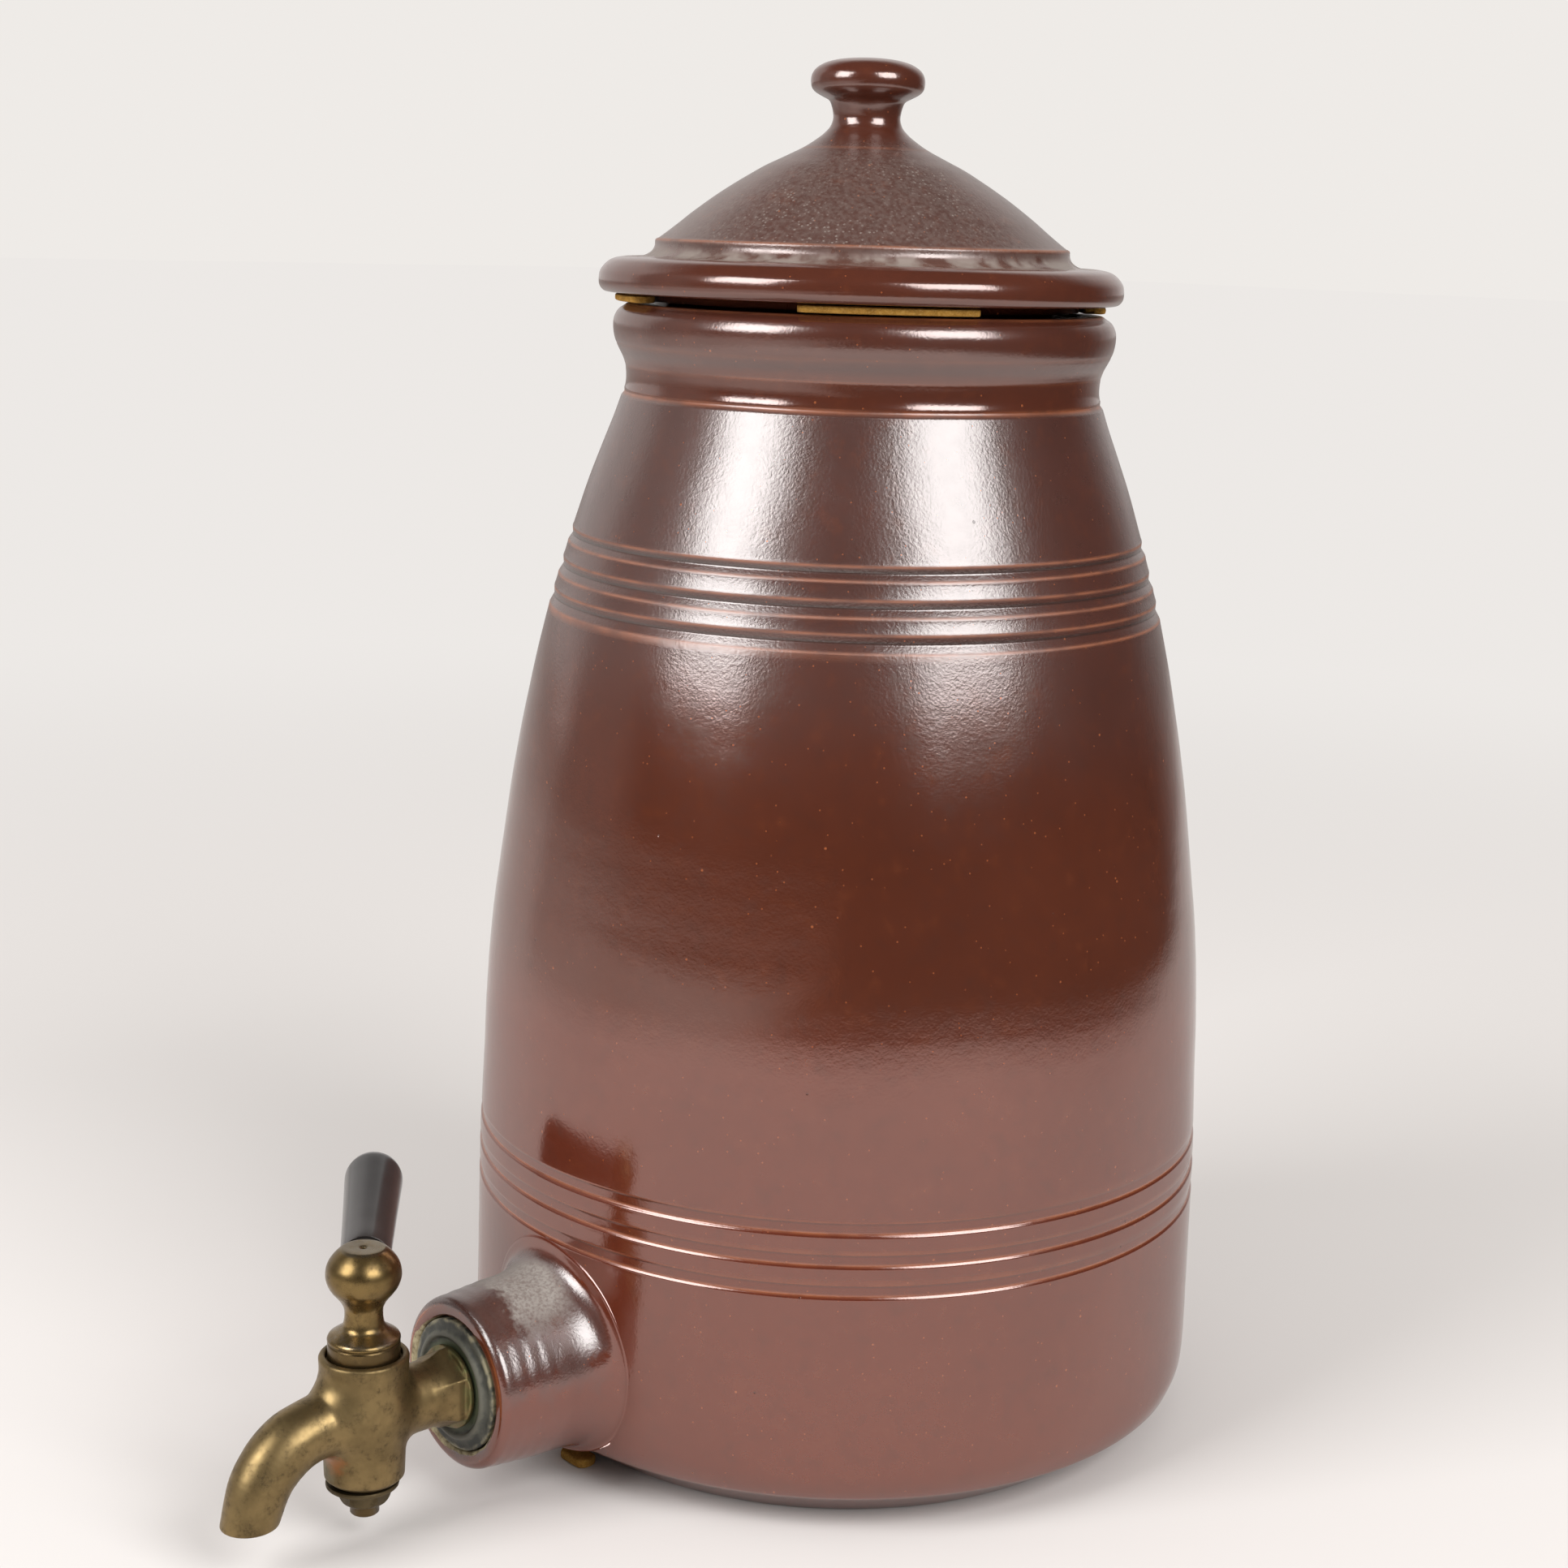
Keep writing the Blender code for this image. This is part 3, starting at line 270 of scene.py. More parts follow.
def build_jar():
    """One surface: the rim, the grooved side and the foot outside, and the wall and floor inside."""
    columns = 240
    angle = np.linspace(0, 2 * math.pi, columns, endpoint=False)[None, :]
    side = smooth_line(SIDE_OUTLINE, 0.5)
    z = jar_heights()
    outer = np.stack([np.interp(z, side[::-1, 1], side[::-1, 0]), z], 1)
    rim = smooth_line(RIM_OUTLINE, 0.45)[:-1]
    foot = np.vstack([smooth_line(FOOT_OUTLINE, 0.7)[1:], FOOT_BASE])
    inside_z = np.concatenate([[FLOOR_TOP + INNER_CORNER], np.arange(35, NECK_LINE, 9.0)])
    inner = np.stack([np.interp(inside_z, side[::-1, 1], side[::-1, 0]) - WALL, inside_z], 1)
    bend = np.radians(np.arange(0, 90, 10))
    corner = np.stack([np.sin(bend), -np.cos(bend)], 1) * INNER_CORNER
    corner += (BODY_RADIUS - WALL - INNER_CORNER, FLOOR_TOP + INNER_CORNER)
    mouth = [[MOUTH_RADIUS, 229], [MOUTH_RADIUS, 242.9], [44.2, 243.8]]
    inner = np.vstack([[[0.0, FLOOR_TOP], [35.0, FLOOR_TOP]], corner, inner, mouth])
    outline = np.vstack([inner, rim, outer, foot])
    start = len(inner)
    points = revolve(outline, columns)
    radius = np.repeat(outline[:, :1], columns, 1)
    height = np.repeat(outline[:, 1:2], columns, 1)
    drop = np.zeros_like(radius)
    lip = np.zeros_like(radius)
    # groove: where painted shade darkens the groove bottoms, and just under the small step at the top of
    # each lower groove
    groove = np.zeros_like(radius)
    outside = (np.arange(len(outline)) >= start)[:, None]
    tilt = 0.0154 * radius * np.sin(angle + 0.82)
    for i, middle in enumerate((*UPPER_GROOVES, *LOWER_GROOVES)):
        level = height - middle - tilt * 0.25 - 0.12 * waves(angle, 11 + i)
        grown = 1 + 0.12 * waves(angle, 31 + i)
        half = GROOVE_HALF * (0.86, 1.0, 1.08, 1.0, 1.0, 1.0)[i]
        if i < len(UPPER_GROOVES):
            drop += groove_depth(level, half, UPPER_GROOVE_DEPTH * grown)
            lip = np.maximum(lip, hill(np.abs(level) - half * 0.95, 0.27))
            groove = np.maximum(groove, hill(level - 0.35, 0.30))
        else:
            drop += ledge_depth(level, LOWER_GROOVE_DEPTH * grown)
            lip = np.maximum(lip, hill(level - 0.08, 0.26))
            lip = np.maximum(lip, 0.45 * hill(level - 2.45, 0.20))
            groove = np.maximum(groove, 0.6 * hill(level - 2.15, 0.18))
    level = height - NECK_LINE - 0.15 * waves(angle, 51)
    drop += groove_depth(level, NECK_LINE_HALF, NECK_LINE_DEPTH)
    lip = np.maximum(lip, 0.9 * hill(level, 0.45))
    for i, middle in enumerate(RIM_LINES):
        level = height - middle - 0.25 * waves(angle, 61 + i)
        drop += 0.07 * hill(level, 0.35)
        lip = np.maximum(lip, 0.35 * hill(level, 0.3) * (0.6 + 0.4 * waves(angle, 71 + i)))
    crest = hill(np.hypot(radius - 50.9, height - 244.5), 0.45)
    lip = np.maximum(lip, 0.9 * crest)
    ring = 0.02 * np.sin(height / 2.1 + 0.6 * waves(angle, 81)) * np.clip((225 - height) / 20, 0, 1)
    drop += np.clip(ring, 0, 1) + 0.10 * np.clip(waves(angle, 91) * np.sin(height / 37), 0, 1)
    drop = np.where(height < FOOT_TOP + 0.1, 0.0, drop) * outside
    scale = (radius - drop) / np.maximum(radius, 0.01)
    points[..., 0] *= scale
    points[..., 1] *= scale
    return grid_mesh("jar", points, masks={"lip": lip * outside, "groove": groove * outside})


def boss_spread(turn):
    """How far the luted clay spreads past the boss on the wall, by the angle round the boss."""
    rise = np.sin(turn)
    return SPREAD_SIDE + SPREAD_TOP * np.clip(rise, 0, 1) ** 1.5 - SPREAD_BOTTOM * np.clip(-rise, 0, 1) ** 3


def build_boss():
    """The boss as rings: (R cos a, -reach, h + R sin a), along the fillet, the barrel and the mouth."""
    columns = 160
    turn = np.linspace(0, 2 * math.pi, columns, endpoint=False)
    spread = boss_spread(turn)
    wander = 0.5 * waves(turn, 5)
    rings = []
    crust = []
    risen = []

    def add(radius, reach, mask=0.0, share=1.0):
        rings.append(np.stack([radius * np.cos(turn), -reach, BOSS_HEIGHT + radius * np.sin(turn)], -1))
        crust.append(np.broadcast_to(mask, (columns,)))
        risen.append(np.full(columns, share))

    for share in np.linspace(-0.12, 1, 26):
        bend = max(share, 0) * math.pi / 2
        run = math.sin(bend)
        rise = 1 - (1 - run**FILLET_POWER) ** (1 / FILLET_POWER)
        radius = BOSS_RADIUS + (spread + wander) * (1 - run) + (0.8 if share < 0 else 0)
        x = radius * np.cos(turn)
        on_wall = np.sqrt(BODY_RADIUS**2 - x**2)
        reach = on_wall + FILLET_LENGTH * rise - (0.5 if share < 0 else 0.015 * (1 - share))
        add(radius, reach, share=max(share, 0.0))
    start = np.sqrt(BODY_RADIUS**2 - (BOSS_RADIUS * np.cos(turn)) ** 2) + FILLET_LENGTH
    for share in np.linspace(0.12, 1, 14):
        reach = start + (BOSS_REACH - BOSS_MOUTH_ROUND - 0.1 - start) * share
        radius = BOSS_RADIUS + (BOSS_MOUTH_RADIUS - BOSS_RADIUS) * share + 0.05 * np.sin(reach * 1.9 + turn)
        add(radius, reach)
    for bend in np.linspace(0.12, 1, 10) * math.pi / 2:
        radius = BOSS_MOUTH_RADIUS - BOSS_MOUTH_ROUND * (1 - math.cos(bend)) + 0.04 * waves(turn, 6)
        add(radius, BOSS_REACH - BOSS_MOUTH_ROUND * (1 - math.sin(bend)) - 0.05 + 0 * turn)
    from_left = (turn - math.radians(200) + math.pi) % (2 * math.pi) - math.pi
    limit = 14.35 + 0.25 * waves(turn, 8) + 2.4 * hill(from_left, 0.9)
    for radius, reach in BOSS_MOUTH:
        mask = np.clip((limit - radius) / 0.9 + 0.5, 0, 1)
        add(radius + 0.06 * waves(turn, 7), reach + 0 * turn, mask)
    points = np.array(rings)
    from_bore = np.hypot(points[..., 0], points[..., 2] - BOSS_HEIGHT)
    worn = hill(from_bore - 16.3, 0.3) * (points[..., 1] < 0.5 - BOSS_REACH)
    worn *= np.clip(0.5 + waves(turn, 9), 0, 1)
    masks = {"crust": np.array(crust)[::-1], "lip": worn[::-1], "risen": np.array(risen)[::-1]}
    return grid_mesh("boss", points[::-1], masks=masks)


def build_lid():
    """The lid as one turned surface: knob, dome, step, flange, locating ring and hollow."""
    columns = 256
    outline = np.vstack(
        [
            smooth_line(LID_OUTLINE, 0.5)[:-1],
            smooth_line(LID_STEP, 0.3)[:-1],
            np.array(LID_UNDER),
            smooth_line(LID_HOLLOW, 2.0)[1:],
        ]
    )
    angle = np.linspace(0, 2 * math.pi, columns, endpoint=False)[None, :]
    outline[:, 1] += LID_SEAT
    points = revolve(outline, columns)
    height = np.repeat(outline[:, 1:2] - LID_SEAT, columns, 1)
    radius = np.repeat(outline[:, :1], columns, 1)
    lip = hill(np.hypot(radius - 43.95, height - 11.2), 0.42)
    flange_edge = 0.30 * hill(np.hypot(radius - 50.4, height - 7.4), 0.3)
    lip = np.maximum(lip, flange_edge * (0.6 + 0.4 * waves(angle, 41)))
    lip = np.maximum(lip, 0.55 * hill(np.hypot(radius - 13.4, height - 30.9), 0.3))
    shelf = np.clip((radius - 43.9) / 0.8, 0, 1) * np.clip((51.0 - radius) / 3.0, 0, 1)
    shelf = shelf * (height > 6.5) * (height < 10.6)
    wobble = 1 - 0.0010 * np.clip(waves(angle, 3), 0, 1) * (radius > 20)
    points[..., 0] = points[..., 0] * wobble + LID_MIDDLE[0]
    points[..., 1] = points[..., 1] * wobble + LID_MIDDLE[1]
    return grid_mesh("lid_clay", points, masks={"lip": lip, "shelf": shelf})


# Tap casting, from a distance field
def smooth_min(a, b, blend):
    """The smaller of two distances, rounded over `blend` where they meet."""
    mix = np.clip(0.5 + 0.5 * (b - a) / blend, 0, 1)
    return b + (a - b) * mix - blend * mix * (1 - mix)


def bar_distance(points, line):
    """Distance to a round bar along `line`, rows of (x, y, z, radius): the least over its spans."""
    best = np.full(len(points), 1e3)
    for a, b in zip(line, line[1:]):
        way = b[:3] - a[:3]
        share = np.clip(((points - a[:3]) @ way) / (way @ way), 0, 1)
        gap = np.linalg.norm(points - a[:3] - share[:, None] * way, axis=1)
        best = np.minimum(best, gap - a[3] - share * (b[3] - a[3]))
    return best


def spout_line(shrink):
    """Points (x, y, z, radius) down the spout's middle, from the barrel to below its tip."""
    line = smooth_line(SPOUT_LINE, 0.9)
    return np.stack([0 * line[:, 0], -TAP_REACH - line[:, 0], line[:, 1], line[:, 2] - shrink], 1)


def hex_radius(turn, flat):
    """A six-sided outline with a flat facing +X."""
    step = math.pi / 3
    return flat / np.cos((turn + step / 2) % step - step / 2)


# The shank's reach, radius and six-sidedness
SHANK_STATIONS = (
    (98.0, 5.3, 0.0), (105.6, 5.3, 0.0), (105.62, 8.6, 0.0), (106.5, 8.65, 0.0), (106.7, 8.2, 0.6),
    (107.0, 7.5, 1.0), (108.6, 7.4, 1.0), (109.6, 7.1, 0.8), (110.8, 6.95, 0.45), (112.2, 6.9, 0.18),
    (114.0, 6.9, 0.0), (126.0, 7.1, 0.0),
)


def casting_distance(points):
    """Signed distance, in millimetres, to the tap's casting: barrel, spout and shank less their bores."""
    x, y, z = points.T
    away = np.hypot(x, y + TAP_REACH)
    barrel_radius = 8.05 + (z - 14.0) * (9.05 - 8.05) / (BARREL_TOP - 14.0)
    barrel_radius = np.minimum(barrel_radius, 6.75 + np.clip(z - BARREL_BOTTOM, 0, 9) * 1.1)
    flat_side = np.maximum(BARREL_BOTTOM - z, z - BARREL_TOP)
    rounding = np.where(z > 26.0, 0.8, 0.35)
    side = np.maximum(away - barrel_radius + rounding, 0)
    level = np.maximum(flat_side + rounding, 0)
    within = np.minimum(np.maximum(away - barrel_radius, flat_side) + rounding, 0)
    barrel = np.hypot(side, level) + within - rounding
    spout = -smooth_min(-bar_distance(points, spout_line(0.0)), z - SPOUT_TIP, 0.5)
    turn = np.arctan2(z - BOSS_HEIGHT, x)
    reach = -y
    stations = np.array(SHANK_STATIONS)
    round_part = np.interp(reach, stations[:, 0], stations[:, 1])
    sided = np.interp(reach, stations[:, 0], stations[:, 2])
    outline = round_part + sided * (hex_radius(turn, 7.4) - 7.4)
    shank = np.hypot(x, z - BOSS_HEIGHT) - outline
    shank = np.maximum(shank, np.maximum(98.0 - reach, reach - TAP_REACH))
    solid = smooth_min(smooth_min(barrel, spout, 3.2), shank, 2.4)
    bore_radius = np.where(z > BARREL_TOP - 1.5, 7.65, 6.45)
    seat = np.maximum(away - bore_radius, 24.0 - z)
    bore = bar_distance(points, spout_line(SPOUT_WALL)[10:])
    return np.maximum(solid, -np.minimum(seat, bore))


def surface_net(distance, low, high, step):
    """A four-sided mesh of the zero surface of `distance` in a box, one point in each mixed cell.

    The point is the mean of the places where the cell's edges cross zero, then moved along the
    gradient onto the surface itself.
    """
    axes = [np.arange(a, b + step, step) for a, b in zip(low, high)]
    shape = tuple(len(a) for a in axes)
    grid = np.stack(np.meshgrid(*axes, indexing="ij"), -1).reshape(-1, 3)
    field = np.concatenate([distance(part) for part in np.array_split(grid, 12)]).reshape(shape)
    inside = field < 0
    corners = [(i, j, k) for i in (0, 1) for j in (0, 1) for k in (0, 1)]

    def shifted(values, offset):
        i, j, k = offset
        return values[i : shape[0] - 1 + i, j : shape[1] - 1 + j, k : shape[2] - 1 + k]

    count = sum(shifted(inside, c).astype(np.int8) for c in corners)
    mixed = (count > 0) & (count < 8)
    index = np.full(mixed.shape, -1, np.int64)
    index[mixed] = np.arange(mixed.sum())
    total = np.zeros((mixed.sum(), 3))
    hits = np.zeros(mixed.sum())
    for a in corners:
        for axis in range(3):
            if a[axis]:
                continue
            b = tuple(1 if i == axis else a[i] for i in range(3))
            fa, fb = shifted(field, a)[mixed], shifted(field, b)[mixed]
            cross = (fa < 0) != (fb < 0)
            share = np.where(cross, fa / np.where(cross, fa - fb, 1), 0)
            place = np.tile(np.array(a, float), (len(fa), 1))
            place[:, axis] += share
            total += place * cross[:, None]
            hits += cross
    cells = np.argwhere(mixed)
    points = np.array([a[0] for a in axes]) + (cells + total / hits[:, None]) * step
    faces = []
    for axis in range(3):
        u, v = (axis + 1) % 3, (axis + 2) % 3
        low_side = np.take(inside, range(shape[axis] - 1), axis)
        high_side = np.take(inside, range(1, shape[axis]), axis)
        edges = np.argwhere(low_side != high_side)
        sides = edges[:, [u, v]]
        last = np.array([shape[u], shape[v]]) - 1
        edges = edges[((sides > 0) & (sides < last)).all(1)]
        quad = []
        for du, dv in ((1, 1), (0, 1), (0, 0), (1, 0)):
            cell = edges.copy()
            cell[:, u] -= du
            cell[:, v] -= dv
            quad.append(index[tuple(cell.T)])
        quad = np.stack(quad, 1)
        flip = ~low_side[tuple(edges.T)]
        quad[flip] = quad[flip][:, ::-1]
        faces.append(quad)
    faces = np.vstack(faces)
    for _ in range(2):
        here = distance(points)
        slope = np.stack(
            [(distance(points + e) - distance(points - e)) / 0.1 for e in np.eye(3) * 0.05], 1
        )
        size = np.maximum((slope**2).sum(1), 0.2)
        move = -(here / size)[:, None] * slope
        length = np.linalg.norm(move, axis=1, keepdims=True)
        points = points + move * np.minimum(1, step / 2 / np.maximum(length, 1e-9))
    return points, faces


def build_casting():
    """The tap's one-piece casting."""
    points, faces = surface_net(casting_distance, (-10.5, -160.5, 9.5), (10.5, -97.5, 41.0), 0.34)
    return mesh_object("tap_casting", points, faces)


def build_plug():
    """The turned ball head, neck, collar and taper of the plug."""
    outline = smooth_line(PLUG_OUTLINE, 0.22)
    tail = np.array([(6.2, 38.7), (6.0, 36.0), (2.95, 30.0), (2.95, 5.85), (2.65, 5.55), (0.0, 5.55)])
    outline = np.vstack([outline, tail])
    return grid_mesh("plug_head", revolve(outline, 128, (0.0, -TAP_REACH)))


def build_washer():
    """The thin washer, a little off centre, as such washers sit."""
    middle = (-0.28, -TAP_REACH - 0.32)
    return grid_mesh("washer", revolve(smooth_line(WASHER_OUTLINE, 0.15), 96, middle))


def build_nut():
    """The nut: a six-sided outline cut back by a cone at its lower end, r = min(hex(a), cone(z))."""
    columns = 144
    turn = np.linspace(0, 2 * math.pi, columns, endpoint=False)
    line = smooth_line(NUT_OUTLINE, 0.18)
    radius = np.minimum(line[:, :1], hex_radius(turn - math.radians(25), 4.64)[None, :])
    z = np.repeat(line[:, 1:], columns, 1)
    points = np.stack([radius * np.cos(turn), -TAP_REACH + radius * np.sin(turn), z], -1)
    return grid_mesh("nut", points)


def handle_frame():
    """The matrix that takes +Z to the lever's direction, from the middle of the ball head."""
    level = Matrix.Rotation(math.pi / 2 + HANDLE_TURN, 4, "Z")
    lean = Matrix.Rotation(math.pi / 2 - HANDLE_RISE, 4, "Y")
    return Matrix.Translation((0.0, -TAP_REACH, BALL_HEIGHT)) @ level @ lean


def build_grip():
    """The black grip: a slim cone with a rounded end, turned about the lever's own line."""
    line = smooth_line(GRIP_OUTLINE, 0.25)[::-1]
    points = revolve(line, 96)
    turn = np.array(handle_frame())
    points = points @ turn[:3, :3].T + turn[:3, 3]
    return grid_mesh("grip", points)


def build_bung():
    """The rubber bung: taper, raised lip and a dished face, a little uneven."""
    line = smooth_line(BUNG_OUTLINE, 0.3)
    columns = 128
    turn = np.linspace(0, 2 * math.pi, columns, endpoint=False)
    radius = line[:, :1] + 0.08 * waves(turn, 23)[None, :] * (line[:, :1] > 9)
    reach = line[:, 1:] + 0.10 * waves(turn, 29)[None, :] * (line[:, 1:] > 104)
    points = np.stack([radius * np.cos(turn), -reach, BOSS_HEIGHT + radius * np.sin(turn)], -1)
    return grid_mesh("bung", points[::-1])


def build_felt(name, ring, place, node, centre, seed):
    """A felt strip: a rounded slab bent round the axis, with a soft uneven edge.

    Across a section the outline is |u|^n + |v|^n = 1 with n = 5, and it closes at both ends.
    """
    rng = np.random.default_rng(seed)
    inner, outer = ring
    facing, arc = np.radians(place)
    low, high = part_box(node)
    bottom, top = low.z / MM, high.z / MM
    along = np.linspace(-1, 1, 120)
    round_turn = np.linspace(0, 2 * math.pi, 40, endpoint=False)
    end = np.clip(1 - np.abs(along), 0, 1) * arc / 2 * outer / (outer - inner) * 2
    shrink = np.sqrt(1 - (1 - np.clip(end, 0, 1)) ** 4)
    u = np.sign(np.cos(round_turn)) * np.abs(np.cos(round_turn)) ** 0.4
    v = np.sign(np.sin(round_turn)) * np.abs(np.sin(round_turn)) ** 0.4
    half_width, half_height = (outer - inner) / 2, (top - bottom) / 2
    fuzz = rng.normal(0, 0.035, (len(along), len(round_turn)))
    radius = (outer + inner) / 2 + shrink[:, None] * (half_width - 0.05) * u[None, :] + fuzz
    z = (top + bottom) / 2 + (0.75 + 0.25 * shrink[:, None]) * (half_height - 0.04) * v[None, :] + fuzz * 0.3
    z = np.clip(z, bottom, top)
    turn = facing + along[:, None] * arc / 2 - math.pi / 2
    points = np.stack([centre[0] + radius * np.cos(turn), centre[1] + radius * np.sin(turn), z], -1)
    caps = [np.repeat(points[i : i + 1].mean(1, keepdims=True), len(round_turn), 1) for i in (0, -1)]
    return grid_mesh(name, np.concatenate([caps[0], points, caps[1]]))


# Shader helpers
class Nodes:
    """Short names for adding and joining shader nodes."""

    def __init__(self, tree):
        self.tree = tree

    def add(self, kind, **values):
        node = self.tree.nodes.new(kind)
        for key, value in values.items():
            setattr(node, key, value)
        return node

    def join(self, source, target):
        """Sets a socket from a number, a colour or another socket."""
        if isinstance(source, bpy.types.NodeSocket):
            self.tree.links.new(source, target)
        elif isinstance(source, tuple) and target.type == "RGBA":
            target.default_value = (*source, 1.0)
        else:
            target.default_value = source

    def noise(self, coords, scale, detail=3.0, rough=0.5):
        node = self.add("ShaderNodeTexNoise")
        for key, value in (("Vector", coords), ("Scale", scale), ("Detail", detail), ("Roughness", rough)):
            self.join(value, node.inputs[key])
        return node.outputs["Fac"]

    def ramp(self, value, low, high, out_low=0.0, out_high=1.0):
        """A smooth step from one value to another between two limits."""
        node = self.add("ShaderNodeMapRange", interpolation_type="SMOOTHSTEP")
        limits = (("From Min", low), ("From Max", high), ("To Min", out_low), ("To Max", out_high))
        for key, number in (("Value", value), *limits):
            self.join(number, node.inputs[key])
        return node.outputs["Result"]

    def math(self, operation, *values, clamp=False):
        node = self.add("ShaderNodeMath", operation=operation, use_clamp=clamp)
        for value, socket in zip(values, node.inputs):
            self.join(value, socket)
        return node.outputs[0]

    def plus(self, first, second):
        return self.math("ADD", first, second)

    def most(self, first, second):
        return self.math("MAXIMUM", first, second)

    def around(self, coords, scale, detail, rough, size):
        """Noise that wanders about zero, by about half of `size` each way."""
        return self.times(self.math("SUBTRACT", self.noise(coords, scale, detail, rough), 0.5), size)

    def times(self, *values):
        product = values[0]
        for value in values[1:]:
            product = self.math("MULTIPLY", product, value)
        return product

    def mix(self, share, a, b):
        node = self.add("ShaderNodeMix", data_type="RGBA")
        for value, socket in ((share, node.inputs[0]), (a, node.inputs[6]), (b, node.inputs[7])):
            self.join(value, socket)
        return node.outputs[2]

    def choose(self, share, first, second):
        """One shader or the other, by a share."""
        node = self.add("ShaderNodeMixShader")
        for value, socket in zip((share, first, second), node.inputs):
            self.join(value, socket)
        return node.outputs[0]

    def split(self, vector):
        node = self.add("ShaderNodeSeparateXYZ")
        self.join(vector, node.inputs[0])
        return node.outputs

    def coords(self):
        return self.add("ShaderNodeTexCoord").outputs["Object"]

    def upward(self):
        """The height of the surface's own normal: 1 on a level top, -1 underneath."""
        return self.split(self.add("ShaderNodeNewGeometry").outputs["Normal"])[2]

    def attribute(self, name):
        return self.add("ShaderNodeAttribute", attribute_name=name).outputs["Fac"]

    def bump(self, height, distance):
        node = self.add("ShaderNodeBump")
        for key, value in (("Height", height), ("Distance", distance)):
            self.join(value, node.inputs[key])
        return node.outputs["Normal"]

    def paint(self, shader, **values):
        """Sets or joins the shader's own sockets, with a space for each underscore in a name."""
        for key, value in values.items():
            self.join(value, shader.inputs[key.replace("_", " ")])

    def use(self, tree, **values):
        """Adds a shared effect and gives its output."""
        node = self.add("ShaderNodeGroup", node_tree=tree)
        for key, value in values.items():
            self.join(value, node.inputs[key])
        return node.outputs[0]


def effect(name, inputs, output):
    """A node group for an effect that several materials share: its tree, helper, inputs and output."""
    tree = bpy.data.node_groups.new(name, "ShaderNodeTree")
    for label, value in inputs:
        kind = "NodeSocketVector" if value is None else "NodeSocketFloat"
        socket = tree.interface.new_socket(name=label, in_out="INPUT", socket_type=kind)
        if value is not None:
            socket.default_value = value
    tree.interface.new_socket(name=output, in_out="OUTPUT", socket_type="NodeSocketFloat")
    n = Nodes(tree)
    given = n.add("NodeGroupInput").outputs
    return tree, n, given, n.add("NodeGroupOutput").inputs[0]


def specks_effect():
    """Small round marks: random cells of a scale, of which a share carries a mark of the given size."""
    inputs = (("At", None), ("Scale", 300.0), ("Share", 0.5), ("Size", 0.1))
    tree, n, given, out = effect("specks", inputs, "Mask")
    cells = n.add("ShaderNodeTexVoronoi")
    n.join(given["At"], cells.inputs["Vector"])
    n.join(given["Scale"], cells.inputs["Scale"])
    near = n.math("SUBTRACT", 1.0, n.math("DIVIDE", cells.outputs["Distance"], given["Size"]))
    near = n.math("MULTIPLY", near, 2.5, clamp=True)
    chosen = n.math("LESS_THAN", n.split(cells.outputs["Color"])[0], given["Share"])
    n.join(n.times(near, chosen), out)
    return tree


def peel_effect():
    """The uneven skin of a salt glaze: fine grain, dimples of a few millimetres and a slow wave."""
    inputs = (("At", None), ("Grain", 1.0), ("Dimples", 1.0), ("Wave", 1.0))
    tree, n, given, out = effect("glaze_peel", inputs, "Height")
    grain = n.times(n.noise(given["At"], 1700.0, 2.0, 0.55), given["Grain"])
    dimples = n.times(n.noise(given["At"], 420.0, 2.0, 0.5), given["Dimples"])
    wave = n.times(n.noise(given["At"], 120.0, 1.0), given["Wave"])
    n.join(n.plus(n.plus(grain, dimples), wave), out)
    return tree


def patina_effect():
    """Where an old metal surface is darkened: soft patches with small sharp stains in them."""
    tree, n, given, out = effect("patina", (("At", None), ("Scale", 300.0), ("Share", 0.5)), "Mask")
    patch = n.ramp(n.noise(given["At"], given["Scale"], 5.0, 0.65), 0.44, 0.70)
    small = n.ramp(n.noise(given["At"], 1500.0, 3.0, 0.6), 0.40, 0.66, 0.35, 1.0)
    n.join(n.times(patch, small, given["Share"]), out)
    return tree


SPECKS = specks_effect()
PEEL = peel_effect()
PATINA = patina_effect()

DUST_COLOUR = (0.30, 0.262, 0.232)
CLAY_ORANGE = (0.27, 0.082, 0.030)
CRUST_COLOUR = (0.40, 0.35, 0.215)
PIT_COLOUR = (0.020, 0.0100, 0.0080)
BOSS_DUST_COLOUR = (0.315, 0.290, 0.262)


def new_material(name):
    """A material with its Principled shader and node helper."""
    made = bpy.data.materials.new(name)
    made.use_nodes = True
    return made, made.node_tree.nodes["Principled BSDF"], Nodes(made.node_tree)


